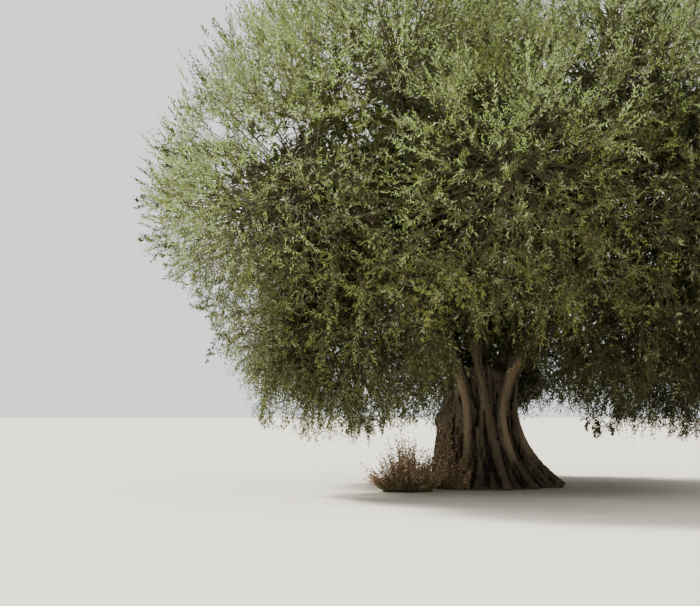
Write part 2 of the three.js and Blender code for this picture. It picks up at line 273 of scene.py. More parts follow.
def depths(points):  # how far out each point is in each mass: 1 on its surface
    way = points[None, :, :] - middles[:, None, :]
    local = np.einsum("mpk,mak->mpa", way, axesOf) / sizes[:, None, :]
    return np.linalg.norm(local, axis=2)


def inSpace(m, points):
    depth = depths(points)
    others = np.delete(depth, m, axis=0).min(axis=0)
    return (depth[m] <= 1) & (points[:, 2] > crownPlan["ground"]) & (others > depth[m] + crownPlan["spaceMargin"])


def reachOf(m, directions):
    steps = np.arange(1, crownPlan["raySteps"]) * crownPlan["rayStep"]
    points = masses[m]["middle"] + directions[:, None, :] * steps[None, :, None]
    inside = inSpace(m, points.reshape(-1, 3)).reshape(len(directions), -1)
    inside[:, -1] = False
    return np.argmin(inside, axis=1) * crownPlan["rayStep"]


# limbs as evenly spaced lines of points

def evenly(points, count):
    lengths = np.concatenate([[0], np.cumsum(np.linalg.norm(np.diff(points, axis=0), axis=1))])
    marks = np.linspace(0, lengths[-1], count)
    return np.stack([np.interp(marks, lengths, points[:, k]) for k in range(3)], axis=1)


def ribLine(plan):
    foot, waist, arm, waistZ = (np.array(v) for v in plan[:4])
    z = np.linspace(trunkPlan["below"], trunkPlan["armHeight"], linePoints["draft"])
    below = np.maximum(0, 1 - z / waistZ) ** trunkPlan["ribSweep"]
    above = np.maximum(0, (z - waistZ) / (trunkPlan["armHeight"] - waistZ)) ** trunkPlan["ribSweep"]
    xy = waist + np.outer(below, foot - waist) + np.outer(above, arm - waist)
    return evenly(np.column_stack([xy, z]), linePoints["rib"])


def ribRadii(plan):
    return np.interp(np.linspace(0, 1, linePoints["rib"]), [0, 0.5, 1], trunkPlan["ribRadius"]) * plan[4]


def boughLine(start, startWay, end, endWay):
    handle = np.linalg.norm(end - start) * crownPlan["boughSweep"]
    t = np.linspace(0, 1, linePoints["draft"])[:, None]
    a, b = start + startWay * handle, end - endWay * handle
    points = start * (1 - t) ** 3 + 3 * a * (1 - t) ** 2 * t + 3 * b * (1 - t) * t**2 + end * t**3
    return evenly(points, linePoints["bough"])


def boughRadii(bough):
    return np.linspace(bough["startRadius"], crownPlan["boughEnd"], linePoints["bough"])


def wayAt(line, share):
    i = min(int(share * (len(line) - 1)), len(line) - 2)
    return unit(line[i + 1] - line[i])


def placeAt(line, share):
    at = share * (len(line) - 1)
    return np.array([np.interp(at, np.arange(len(line)), line[:, k]) for k in range(3)])


def bearingGap(a, b):
    return abs((a - b + 540) % 360 - 180)


def makeBoughs():
    boughs = []
    for m, mass in enumerate(masses):
        end = mass["middle"] - mass["arrival"] * crownPlan["boughEntry"] * min(mass["size"][0], mass["size"][2])
        fork = mass["plan"]["fork"]
        if fork:
            hosts = [b for b in boughs if b["mass"]["plan"]["name"] == "side"]
            host = min(hosts, key=lambda b: bearingGap(b["mass"]["bearing"], mass["bearing"]))["line"]
            start = placeAt(host, fork)
            along, turned = crownPlan["forkWay"]
            way = unit(wayAt(host, fork) * along + mass["arrival"] * turned)
            radius = crownPlan["forkedRadius"]
        else:
            plan = list(ribPlans.values())[m]
            rib = ribLine(plan)
            start, way, radius = rib[-1], wayAt(rib, 1), ribRadii(plan)[-1]
        line = boughLine(start, way, end, mass["arrival"])
        stemEnd = mass["middle"] + mass["arrival"] * crownPlan["stemPast"] * mass["size"][0]
        stem = boughLine(end, mass["arrival"], stemEnd, mass["arrival"])
        boughs.append({"mass": mass, "line": line, "startRadius": radius, "stem": stem, "forked": bool(fork)})
    return boughs


boughs = makeBoughs()
report(f"plan laid out: {len(boughs)} boughs and masses")


# materials

def newMaterial(name):
    material = bpy.data.materials.new(name)
    material.use_nodes = True
    return material, material.node_tree.nodes, material.node_tree.links


def newGroup(name, inputs, outputs):
    group = bpy.data.node_groups.new(name, "ShaderNodeTree")
    for socket, kind, value in inputs:
        made = group.interface.new_socket(socket, in_out="INPUT", socket_type=kind)
        made.default_value = value
    for socket, kind in outputs:
        group.interface.new_socket(socket, in_out="OUTPUT", socket_type=kind)
    nodes = group.nodes
    return group, nodes, group.links, nodes.new("NodeGroupInput"), nodes.new("NodeGroupOutput")


def fillSocket(links, socket, value):  # with a number, a colour or another node's output
    if isinstance(value, (int, float)):
        socket.default_value = value
    elif isinstance(value, tuple):
        socket.default_value = (*value, 1)
    else:
        links.new(value, socket)


def mathNode(nodes, links, operation, a, b):
    node = nodes.new("ShaderNodeMath")
    node.operation = operation
    fillSocket(links, node.inputs[0], a)
    fillSocket(links, node.inputs[1], b)
    return node.outputs[0]


def sumNode(nodes, links, *terms):  # each term is an output and its weight, or a plain number
    total = None
    for term in terms:
        if isinstance(term, tuple):
            term = mathNode(nodes, links, "MULTIPLY", *term)
        total = term if total is None else mathNode(nodes, links, "ADD", total, term)
    return total


def mixColour(nodes, links, factor, a, b):
    node = nodes.new("ShaderNodeMix")
    node.data_type = "RGBA"
    for socket, value in (("Factor", factor), (6, a), (7, b)):  # 6 and 7 are the two colours
        fillSocket(links, node.inputs[socket], value)
    return node.outputs[2]


def noiseNode(nodes, links, vector, scale, detail, roughness):
    node = nodes.new("ShaderNodeTexNoise")
    node.inputs["Scale"].default_value = scale
    node.inputs["Detail"].default_value = detail
    node.inputs["Roughness"].default_value = roughness
    links.new(vector, node.inputs["Vector"])
    return node.outputs["Fac"]


def rampNode(nodes, links, value, stops):
    node = nodes.new("ShaderNodeValToRGB")
    ramp = node.color_ramp
    while len(ramp.elements) < len(stops):
        ramp.elements.new(0.5)
    for element, (place, level) in zip(ramp.elements, stops):
        element.position = place
        element.color = (level, level, level, 1)
    links.new(value, node.inputs["Fac"])
    return node.outputs["Color"]


def attributeNode(nodes, name):
    node = nodes.new("ShaderNodeAttribute")
    node.attribute_name = name
    return node.outputs["Fac"]


grainLook = {
    "grain": (1.0, 6, 0.62),  # scale, detail, roughness
    "fine": (6.5, 4, 0.6),
    "patch": (3.1, 3, 0.6),
    "cracks": 3.2,
    "crackEdge": [(0.0, 0.0), (0.16, 1.0)],
    "furrowEdge": [(0.36, 0.0), (0.62, 1.0)],
    "heights": (0.55, 0.35, 0.3),  # of furrows, fine grain and cracks
}


def makeBarkGroup(look):
    group, nodes, links, given, result = newGroup(
        "barkGrain",
        [("Coarse", "NodeSocketFloat", 9.0), ("Stretch", "NodeSocketFloat", 0.22)],
        [("Furrow", "NodeSocketFloat"), ("Patch", "NodeSocketFloat"), ("Height", "NodeSocketFloat")],
    )
    place = nodes.new("ShaderNodeTexCoord")
    stretch = nodes.new("ShaderNodeCombineXYZ")
    stretch.inputs["X"].default_value = 1
    stretch.inputs["Y"].default_value = 1
    links.new(given.outputs["Stretch"], stretch.inputs["Z"])
    along = nodes.new("ShaderNodeVectorMath")
    along.operation = "MULTIPLY"
    links.new(place.outputs["Object"], along.inputs[0])
    links.new(stretch.outputs[0], along.inputs[1])
    scaled = nodes.new("ShaderNodeVectorMath")
    scaled.operation = "SCALE"
    links.new(along.outputs[0], scaled.inputs[0])
    links.new(given.outputs["Coarse"], scaled.inputs["Scale"])
    grain = noiseNode(nodes, links, scaled.outputs[0], *look["grain"])
    fine = noiseNode(nodes, links, scaled.outputs[0], *look["fine"])
    patch = noiseNode(nodes, links, place.outputs["Object"], *look["patch"])
    cracks = nodes.new("ShaderNodeTexVoronoi")
    cracks.feature = "DISTANCE_TO_EDGE"
    cracks.inputs["Scale"].default_value = look["cracks"]
    links.new(scaled.outputs[0], cracks.inputs["Vector"])
    crackLine = rampNode(nodes, links, cracks.outputs["Distance"], look["crackEdge"])
    furrow = rampNode(nodes, links, grain, look["furrowEdge"])
    height = sumNode(nodes, links, *zip((furrow, fine, crackLine), look["heights"]))
    links.new(furrow, result.inputs["Furrow"])
    links.new(patch, result.inputs["Patch"])
    links.new(height, result.inputs["Height"])
    return group


barkGrain = makeBarkGroup(grainLook)


def barkMaterial(name, look):
    material, nodes, links = newMaterial(name)
    shader = nodes["Principled BSDF"]
    grain = nodes.new("ShaderNodeGroup")
    grain.node_tree = barkGrain
    grain.inputs["Coarse"].default_value = look["coarse"]
    grain.inputs["Stretch"].default_value = look["stretch"]
    body = mixColour(nodes, links, grain.outputs["Furrow"], look["furrow"], look["body"])
    patches = mathNode(nodes, links, "MULTIPLY", grain.outputs["Patch"], look["patchShare"])
    body = mixColour(nodes, links, patches, body, look["patch"])
    smooth = mixColour(nodes, links, grain.outputs["Patch"], look["smooth"], look["smoothSecond"])
    smooth = mixColour(nodes, links, attributeNode(nodes, "fresh"), smooth, look["fresh"])
    # the ribs' smooth tan bark, partly painted light: paler where a rib catches the light
    coat = mixColour(nodes, links, attributeNode(nodes, "pale"), body, smooth)
    # painted shade where the bark stands less proud than its smoothed surface, with the soiled foot darker too
    shade = rampNode(nodes, links, attributeNode(nodes, "ridge"), look["shadeAndSoilEdge"])
    links.new(mixColour(nodes, links, shade, look["creviceShadeAndSoil"], coat), shader.inputs["Base Color"])
    rough = sumNode(nodes, links, (grain.outputs["Furrow"], look["roughness"][0]), look["roughness"][1])
    links.new(rough, shader.inputs["Roughness"])
    bump = nodes.new("ShaderNodeBump")
    bump.inputs["Strength"].default_value = look["bump"]
    bump.inputs["Distance"].default_value = look["bumpDepth"]
    links.new(grain.outputs["Height"], bump.inputs["Height"])
    links.new(bump.outputs["Normal"], shader.inputs["Normal"])
    shader.inputs["Specular IOR Level"].default_value = look["gloss"]
    return material


oldBarkLook = {
    "coarse": 11.0,
    "stretch": 0.2,
    "furrow": (0.075, 0.056, 0.038),
    "body": (0.160, 0.124, 0.085),
    "patch": (0.135, 0.118, 0.088),
    "patchShare": 0.5,
    "smooth": (0.350, 0.278, 0.182),
    "smoothSecond": (0.250, 0.192, 0.120),
    "fresh": (0.430, 0.280, 0.140),  # high on the living ribs
    # painted shade: the near black that the bark's hollows are darkened to, and the soiled foot with them
    "creviceShadeAndSoil": (0.020, 0.014, 0.010),
    "shadeAndSoilEdge": [(0.18, 0.0), (0.55, 1.0)],
    "roughness": (-0.12, 0.95),  # on the ridges, and in the furrows
    "gloss": 0.25,
    "bump": 0.9,
    "bumpDepth": 0.02,
}
boughBarkLook = dict(oldBarkLook, coarse=15.0, stretch=0.45, body=(0.20, 0.165, 0.12), bump=0.6, bumpDepth=0.01)
oldBark = barkMaterial("old bark", oldBarkLook)
boughBark = barkMaterial("bough bark", boughBarkLook)


leafGrain = {
    "scale": 6.0,
    "broadDetail": 2,
    "fine": (26, 1, 0.5),  # scale, detail, roughness
    "shares": (0.35, 0.65),  # of the broad and the fine noise
    "edge": [(0.36, 0.0), (0.64, 1.0)],
    "roughness": (0.25, 0.36),  # by the fine noise, and at least
}


def makeLeafGroup(look):
    group, nodes, links, given, result = newGroup(
        "leafTone",
        [("First", "NodeSocketColor", (0, 0, 0, 1)), ("Second", "NodeSocketColor", (0, 0, 0, 1)),
         ("Scale", "NodeSocketFloat", look["scale"])],
        [("Colour", "NodeSocketColor"), ("Roughness", "NodeSocketFloat")],
    )
    place = nodes.new("ShaderNodeTexCoord")
    broad = nodes.new("ShaderNodeTexNoise")
    broad.inputs["Detail"].default_value = look["broadDetail"]
    links.new(place.outputs["Object"], broad.inputs["Vector"])
    links.new(given.outputs["Scale"], broad.inputs["Scale"])
    fine = noiseNode(nodes, links, place.outputs["Object"], *look["fine"])
    blend = sumNode(nodes, links, *zip((broad.outputs["Fac"], fine), look["shares"]))
    spread = rampNode(nodes, links, blend, look["edge"])
    mix = nodes.new("ShaderNodeMix")
    mix.data_type = "RGBA"
    links.new(spread, mix.inputs["Factor"])
    links.new(given.outputs["First"], mix.inputs[6])
    links.new(given.outputs["Second"], mix.inputs[7])
    rough = sumNode(nodes, links, (fine, look["roughness"][0]), look["roughness"][1])
    links.new(mix.outputs[2], result.inputs["Colour"])
    links.new(rough, result.inputs["Roughness"])
    return group


leafTone = makeLeafGroup(leafGrain)


def leafMaterial(name, look):
    material, nodes, links = newMaterial(name)
    shader = nodes["Principled BSDF"]
    tone = nodes.new("ShaderNodeGroup")
    tone.node_tree = leafTone
    first, second, under, gloss = look
    tone.inputs["First"].default_value = (*first, 1)
    tone.inputs["Second"].default_value = (*second, 1)
    tone.inputs["Scale"].default_value = leafGrain["scale"]
    side = nodes.new("ShaderNodeNewGeometry")
    colour = mixColour(nodes, links, side.outputs["Backfacing"], tone.outputs["Colour"], under)
    links.new(colour, shader.inputs["Base Color"])
    links.new(tone.outputs["Roughness"], shader.inputs["Roughness"])
    shader.inputs["Specular IOR Level"].default_value = gloss
    return material


# first and second colour of the upper side, the underside, gloss; the lightest tone and the olive, green and shade
# ones are painted light and shade, lighter and darker copies of one leaf, while grey and yellow are tones that leaves
# have
leafLooks = {
    "leaves_sunlit": ((0.55, 0.79, 0.205), (0.25, 0.375, 0.087), (0.46, 0.58, 0.28), 0.4),
    "leaves_yellow": ((0.29, 0.335, 0.054), (0.130, 0.156, 0.026), (0.25, 0.29, 0.10), 0.35),
    "leaves_olive": ((0.118, 0.147, 0.023), (0.054, 0.068, 0.0110), (0.136, 0.156, 0.052), 0.35),
    "leaves_grey": ((0.20, 0.252, 0.092), (0.083, 0.107, 0.039), (0.29, 0.335, 0.170), 0.4),
    "leaves_green": ((0.067, 0.083, 0.0138), (0.030, 0.038, 0.0065), (0.078, 0.090, 0.029), 0.3),
    "leaves_shade": ((0.046, 0.052, 0.0107), (0.0215, 0.0245, 0.0053), (0.052, 0.058, 0.0195), 0.25),
}
driedLooks = {
    "dried_rosy": ((0.60, 0.42, 0.28), (0.40, 0.26, 0.16), (0.58, 0.44, 0.30), 0.3),
    "dried_brown": ((0.32, 0.21, 0.12), (0.19, 0.125, 0.07), (0.34, 0.24, 0.15), 0.3),
    "sucker_green": ((0.16, 0.20, 0.05), (0.11, 0.14, 0.04), (0.24, 0.27, 0.12), 0.4),
}
twigLook = {
    "first": (0.155, 0.135, 0.085),
    "second": (0.080, 0.064, 0.040),
    "patches": (14, 3, 0.6),  # scale, detail, roughness
    "roughness": 0.85,
    "gloss": 0.3,
}


def twigMaterial(name, look):
    material, nodes, links = newMaterial(name)
    shader = nodes["Principled BSDF"]
    place = nodes.new("ShaderNodeTexCoord")
    patches = noiseNode(nodes, links, place.outputs["Object"], *look["patches"])
    links.new(mixColour(nodes, links, patches, look["first"], look["second"]), shader.inputs["Base Color"])
    shader.inputs["Roughness"].default_value = look["roughness"]
    shader.inputs["Specular IOR Level"].default_value = look["gloss"]
    return material


twigBark = twigMaterial("twig bark", twigLook)
report("materials made")


# meshes from arrays, for what comes in thousands

def meshFromArrays(name, points, faces, material, smooth=True):
    corners = faces.shape[1]
    mesh = bpy.data.meshes.new(name)
    mesh.vertices.add(len(points))
    mesh.vertices.foreach_set("co", points.astype(np.float32).ravel())
    mesh.loops.add(faces.size)
    mesh.loops.foreach_set("vertex_index", faces.astype(np.int32).ravel())
    mesh.polygons.add(len(faces))
    mesh.polygons.foreach_set("loop_start", np.arange(len(faces), dtype=np.int32) * corners)
    mesh.update(calc_edges=True)
    mesh.polygons.foreach_set("use_smooth", np.full(len(faces), smooth))
    mesh.materials.append(material)
    piece = bpy.data.objects.new(name, mesh)
    bpy.context.collection.objects.link(piece)
    return piece


def sideways(ways):  # two directions across each way
    helper = np.where(np.abs(ways[..., 2:3]) > 0.9, np.array([1.0, 0, 0]), up)
    first = unit(np.cross(ways, helper))
    return first, np.cross(ways, first)


def spikes(lines, radii):  # three-sided closed twigs that end in a point: lines (n, k, 3), radii (n, k)
    n, k = radii.shape
    ways = unit(np.gradient(lines, axis=1))
    first, second = sideways(ways)
    rings = []
    for corner in range(3):
        angle = 2 * math.pi * corner / 3
        rings.append(lines + (first * math.cos(angle) + second * math.sin(angle)) * radii[..., None])
    rings = np.stack(rings, axis=2)[:, :-1].reshape(n, -1, 3)
    points = np.concatenate([rings, lines[:, -1:]], axis=1)
    size = points.shape[1]
    faces = [[0, 2, 1]]
    for ring in range(k - 2):
        for corner in range(3):
            here, there = ring * 3 + corner, ring * 3 + (corner + 1) % 3
            faces += [[here, there, there + 3], [here, there + 3, here + 3]]
    faces += [[(k - 2) * 3 + c, (k - 2) * 3 + (c + 1) % 3, size - 1] for c in range(3)]
    faces = np.array(faces)[None] + (np.arange(n) * size)[:, None, None]
    return points.reshape(-1, 3), faces.reshape(-1, 3)


# wood: limbs as curves with a radius at every point, made one skin

def evaluatedMesh(piece):
    return bpy.data.meshes.new_from_object(piece.evaluated_get(bpy.context.evaluated_depsgraph_get()))


def applyModifiers(piece):
    mesh = evaluatedMesh(piece)
    piece.modifiers.clear()
    piece.data = mesh


def limbMesh(name, limbs, roundness, voxel):
    curve = bpy.data.curves.new(name, "CURVE")
    curve.dimensions = "3D"
    curve.bevel_depth = 1.0
    curve.bevel_resolution = roundness
    curve.use_fill_caps = True
    for line, radii in limbs:
        spline = curve.splines.new("POLY")
        spline.points.add(len(line) - 1)
        spline.points.foreach_set("co", np.column_stack([line, np.ones(len(line))]).astype(np.float32).ravel())
        spline.points.foreach_set("radius", np.asarray(radii, dtype=np.float32))
    holder = bpy.data.objects.new(name, curve)
    bpy.context.collection.objects.link(holder)
    mesh = evaluatedMesh(holder)
    bpy.data.objects.remove(holder)  # first, so that the piece gets the plain name
    piece = bpy.data.objects.new(name, mesh)
    bpy.context.collection.objects.link(piece)
    skin = piece.modifiers.new("skin", "REMESH")
    skin.mode = "VOXEL"
    skin.voxel_size = voxel
    applyModifiers(piece)
    return piece


def readMesh(items, field, width, kind=np.float32):
    values = np.empty(len(items) * width, dtype=kind)
    items.foreach_get(field, values)
    return values.reshape(-1, width)


def coordinates(mesh):
    return readMesh(mesh.vertices, "co", 3).astype(float)


def normalsOf(mesh):
    return readMesh(mesh.vertices, "normal", 3).astype(float)


def edgesOf(mesh):
    return readMesh(mesh.edges, "vertices", 2, np.int32)


def setCoordinates(mesh, points):
    mesh.vertices.foreach_set("co", points.astype(np.float32).ravel())
    mesh.update()


def smoothed(points, edges, rounds):
    count = np.bincount(edges.ravel(), minlength=len(points)).astype(float)[:, None]
    for _ in range(rounds):
        total = np.stack([
            np.bincount(edges[:, 0], points[edges[:, 1], k], len(points))
            + np.bincount(edges[:, 1], points[edges[:, 0], k], len(points))
            for k in range(3)
        ], axis=1)
        points = 0.4 * points + 0.6 * total / np.maximum(count, 1)  # towards the neighbours' mean
    return points


def addAttribute(mesh, name, values):
    made = mesh.attributes.new(name, "FLOAT", "POINT")
    made.data.foreach_set("value", np.clip(values, 0, 1).astype(np.float32))


def noiseField(points, scale, offset=0.0):
    scaled = points * np.asarray(scale) + offset
    return np.array([noise.noise(Vector(p)) for p in scaled])


barkRelief = {
    "lumps": ((3.2, 3.2, 1.6), 4.0),  # fineness across, deep and up, and where the noise starts
    "furrows": ((16, 16, 1.2), 11.0),
    "cracks": ((34, 34, 6.5), 31.0),
    "grain": ((70, 70, 22), 7.0),
    "furrowEdge": 2.4,
    "crackEdge": 2.2,
    "crackShare": 0.4,  # of the depth of the furrows
    "smoother": 0.75,  # how much of it the smooth bark loses
    "foot": (0.3, 0.6),  # share of the furrows at the ground, and the height over which they come in
    "soil": (0.5, 0.22),  # how high and how dark the foot is soiled
}
trunkLook = {
    "voxel": 0.0125,
    "triangles": 190000,
    "seed": 5,
    "below": -0.05,  # where the limbs begin, to be cut at the ground
    "crestOffset": 0.46,  # shares of the rib's own radius
    "coreOffset": 0.25,  # inwards
    "coreRadius": 0.60,
    "bole": {"girth": 0.86, "end": (0.93, 0.8, 0.55), "points": 40},
    "strands": {  # finer ones wound on each rib
        "count": 5, "offset": 0.60, "radius": 0.33, "girth": (0.75, 1.25), "swell": 0.2, "waves": (9, 16),
        "unrest": 0.4, "twist": 1.1,  # radians from foot to arm
        "smoothRib": (75, 285),  # degrees where they begin and end, off a smooth rib's crest
    },
    "fibres": {  # thin ones on the bole between the ribs
        "count": 26, "points": 30, "top": (0.8, 1.6), "unrest": 0.3, "turn": 0.25, "sway": 0.05, "waves": (5, 11),
        "out": (0.84, 0.94), "radius": (0.045, 0.07), "tip": 0.025,
    },
    "buttresses": {
        "count": 13, "points": 24, "unrest": 0.25, "out": (0.42, 0.84), "flare": 2.6, "uneven": (0.8, 1.05),
        "turn": 0.3, "top": (0.5, 1.1), "depth": 0.92, "below": 0.06, "radius": (0.055, 0.095), "tip": 0.03,
    },
    "betweenRoots": (  # foot, top, radius
        ((0.28, -0.62, -0.05), (0.07, -0.40, 0.85), 0.10),
        ((-0.16, -0.66, -0.05), (-0.19, -0.40, 0.80), 0.09),
    ),
    "shreds": {  # long thin fibres of old bark, most of them on the left side
        "count": 110, "first": 40, "last": 58, "points": (9, 26), "angle": 2.0, "smoothRib": (1.1, 2.2), "turn": 0.35,
        "out": 0.84, "sway": 0.05, "waves": (3, 9), "radius": (0.018, 0.036),
        "on": ("left", "left", "left", "front", "back_left", "right", "back", "back_right", "front_left",
               "front_right"),
    },
    "gnarls": {  # leaning lumps on the left side
        "count": 8, "on": ("left", "left", "back_left"), "along": (10, 32), "angle": 1.0, "out": 0.95,
        "radius": (0.055, 0.090), "lean": 0.3, "length": (2.0, 4.0),
    },
    "swelling": {  # of the left side: its outline, across and up, and the limbs that fill it
        "across": (-0.40, -0.54, -0.61, -0.685, -0.665, -0.68, -0.71, -0.76),
        "up": (1.45, 1.16, 1.02, 0.90, 0.76, 0.60, 0.33, -0.05),
        "deep": (-0.28, 0.14, 9), "bend": (0.6, 1.0, 1.25), "round": 0.10, "unrest": 0.018,
        "radius": (0.034, 0.054), "swell": 0.25, "waves": (8, 14),
    },
    "peels": {  # thin strips on the swelling
        "count": 46, "points": 16, "bearing": (-0.3, 1.2), "first": (-0.05, 1.05), "length": (0.2, 0.6),
        "sway": 0.06, "waves": (3, 7), "middle": (-0.25, -0.02), "proud": 0.045, "radius": (0.013, 0.024),
        "deep": ((0, 0.5, 1.0, 1.5), (0.60, 0.47, 0.385, 0.36)),  # by height
    },
    "boughPoints": 16,  # of each bough, that the trunk's skin takes in
    "lumps": 0.020,
    "furrows": 0.016,
    "grain": 0.006,
    "paleFrom": (0.25, 0.35),  # height where the smooth bark starts, and over which it comes in
    "paleEdge": (1.45, 0.35),  # the same round the crest, in its radii
    "paleNoise": ((5, 5, 1.3), 2.0),
    "ridge": (40, 0.05),  # rounds of smoothing, and how proud a full ridge stands, for the painted shade in the hollows
}


crestHeights = (0.3, 0.55, 1.0, 1.6)  # where a rib's crest is shifted aside
# how pale and smooth the crest is (smooth tan bark, and partly painted light where a rib catches the light), its
# share of the girth, its shifts aside, how full the rib is
ribLooks = {
    "front": {"pale": 0.16, "crest": 0.36, "aside": (0.08, 0.07, 0.02, -0.07), "full": 0.62},
    "front_right": {"pale": 1.0, "crest": 0.40, "aside": (-0.03, -0.03, -0.03, -0.03), "full": 0.82},
    "right": {"pale": 0.95, "crest": 0.50, "aside": (-0.05, -0.05, -0.04, -0.04), "full": 0.85},
    "back_right": {"pale": 0.6, "crest": 0.50, "aside": (0, 0, 0, 0), "full": 1.0},
    "back_left": {"pale": 0.3, "crest": 0.50, "aside": (0, 0, 0, 0), "full": 1.0},
    "left": {"pale": 0.0, "crest": 0.45, "aside": (0, 0, 0, 0), "full": 1.0},
    "front_left": {"pale": 1.0, "crest": 0.38, "aside": (0.015, 0.015, 0.015, 0.015), "full": 0.80},
    "back": {"pale": 0.7, "crest": 0.50, "aside": (0, 0, 0, 0), "full": 1.0},
}


def boleAxis(z):
    share = np.clip(z / trunkPlan["forkHeight"], 0, 1)
    return np.column_stack([trunkPlan["boleLean"] * np.sin(math.pi * share), np.zeros(len(z)), z])


def boleRadius(z):
    share = np.clip(z / trunkPlan["forkHeight"], 0, 1)
    return trunkPlan["boleWaist"] + (trunkPlan["boleFoot"] - trunkPlan["boleWaist"]) * (1 - share) ** 2


def ribFrame(line):  # away from the trunk's middle, and round it
    way = unit(np.gradient(line, axis=0))
    outward = line - boleAxis(line[:, 2])
    outward = unit(outward - way * np.einsum("pk,pk->p", outward, way)[:, None])
    return outward, np.cross(way, outward)


def sway(rng, waves, count):
    return np.sin(np.linspace(0, rng.uniform(*waves), count))


def spindle(count):  # thin at both ends
    return np.sin(np.linspace(0.25, math.pi - 0.25, count)) ** 0.6


def ribShape(name):  # line, radii, and the directions round it
    line, radii = ribLine(ribPlans[name]), ribRadii(ribPlans[name])
    return line, radii, *ribFrame(line)


def shifted(line, name):
    line[:, 0] += np.interp(line[:, 2], crestHeights, ribLooks[name]["aside"])
    return line


def isSmooth(name):
    return ribLooks[name]["pale"] > 0.9


def crestOf(name, look):
    line, radii, outward, _ = ribShape(name)
    line = shifted(line + outward * radii[:, None] * look["crestOffset"], name)
    return line, radii * ribLooks[name]["crest"]


def ribLimbs(look, rng):
    limbs, strands = [], look["strands"]
    for name in ribPlans:
        line, radii, outward, aside = ribShape(name)
        line, radii = shifted(line, name), radii * ribLooks[name]["full"]
        limbs.append((line - outward * radii[:, None] * look["coreOffset"], radii * look["coreRadius"]))
        limbs.append(crestOf(name, look))
        for s in range(strands["count"]):
            if isSmooth(name):
                share = np.interp(s, [0, strands["count"] - 1], strands["smoothRib"])
                angle = np.radians(share) + np.zeros(len(line))
            else:
                angle = 2 * math.pi * s / strands["count"] + rng.uniform(-strands["unrest"], strands["unrest"])
                angle = angle + strands["twist"] * np.linspace(-0.5, 0.5, len(line))
            off = around(outward, aside, angle)
            waves = np.linspace(0, rng.uniform(*strands["waves"]), len(line)) + rng.uniform(0, 6)
            girth = strands["radius"] * rng.uniform(*strands["girth"])
            swell = 1 + strands["swell"] * np.sin(waves)
            limbs.append((line + off * (radii * strands["offset"])[:, None], radii * girth * swell))
    return limbs


def boleLimbs(look, rng):
    bole, fibres = look["bole"], look["fibres"]
    n = fibres["points"]
    z = np.linspace(look["below"], trunkPlan["forkHeight"] + look["below"], bole["points"])
    radius = boleRadius(z) * bole["girth"]
    radius[-3:] *= bole["end"]
    limbs = [(boleAxis(z), radius)]
    for i in range(fibres["count"]):
        bearing = 2 * math.pi * (i + rng.uniform(-fibres["unrest"], fibres["unrest"])) / fibres["count"]
        z = np.linspace(look["below"], rng.uniform(*fibres["top"]), n)
        turn = bearing + rng.uniform(-fibres["turn"], fibres["turn"]) * np.linspace(0, 1, n)
        turn = turn + fibres["sway"] * sway(rng, fibres["waves"], n)
        out = boleRadius(z) * rng.uniform(*fibres["out"])
        line = boleAxis(z) + np.column_stack([np.cos(turn) * out, np.sin(turn) * out, np.zeros(n)])
        limbs.append((line, np.linspace(rng.uniform(*fibres["radius"]), fibres["tip"], n)))
    return limbs


def buttressLimbs(look, rng):
    limbs, plan = [], look["buttresses"]
    t = np.linspace(0, 1, plan["points"])
    near, far = plan["out"]
    for i in range(plan["count"]):
        bearing = 2 * math.pi * (i + rng.uniform(-plan["unrest"], plan["unrest"])) / plan["count"]
        out = near + (far - near) * (1 - t) ** plan["flare"] * rng.uniform(*plan["uneven"])
        turn = bearing + rng.uniform(-plan["turn"], plan["turn"]) * t
        height = rng.uniform(*plan["top"]) * t - plan["below"]
        across = out * np.cos(turn) + trunkPlan["boleLean"] * t
        line = np.column_stack([across, out * np.sin(turn) * plan["depth"], height])
        limbs.append((line, np.interp(t, [0, 1], [rng.uniform(*plan["radius"]), plan["tip"]])))
    for foot, top, radius in look["betweenRoots"]:
        slow = (1 - t[:, None]) ** 2
        line = np.array(foot) * slow + np.array(top) * (1 - slow)
        line[:, 2] = foot[2] + (top[2] - foot[2]) * t
        limbs.append((line, np.linspace(radius, radius * 0.4, plan["points"])))
    return limbs


def shredLimbs(look, rng):
    limbs, plan = [], look["shreds"]
    for i in range(plan["count"]):
        name = plan["on"][i % len(plan["on"])]
        line, radii, outward, aside = ribShape(name)
        radii = radii * ribLooks[name]["full"]
        first = rng.integers(0, plan["first"])
        part = slice(first, min(first + rng.integers(*plan["points"]), plan["last"]))
        n = len(line[part])
        angle = rng.uniform(-plan["angle"], plan["angle"])
        if isSmooth(name):
            angle = math.copysign(rng.uniform(*plan["smoothRib"]), angle)
        angle = angle + np.linspace(0, rng.normal(0, plan["turn"]), n)
        out = plan["out"] + plan["sway"] * sway(rng, plan["waves"], n)
        girth = rng.uniform(*plan["radius"]) * spindle(n)
        limbs.append((line[part] + around(outward[part], aside[part], angle) * (radii[part] * out)[:, None], girth))
    return limbs


def gnarlLimbs(look, rng):
    limbs, plan = [], look["gnarls"]
    for i in range(plan["count"]):
        line, radii, outward, aside = ribShape(plan["on"][i % len(plan["on"])])
        k = rng.integers(*plan["along"])
        angle = rng.uniform(-plan["angle"], plan["angle"])
        place = line[k] + (outward[k] * math.cos(angle) + aside[k] * math.sin(angle)) * radii[k] * plan["out"]
        size = rng.uniform(*plan["radius"])
        t = np.linspace(-0.95, 0.95, 9)
        lean = unit(np.array([rng.normal(0, plan["lean"]), rng.normal(0, plan["lean"]), 1.0]))
        limbs.append((place + np.outer(t, lean) * size * rng.uniform(*plan["length"]), size * np.sqrt(1 - t**2)))
    return limbs


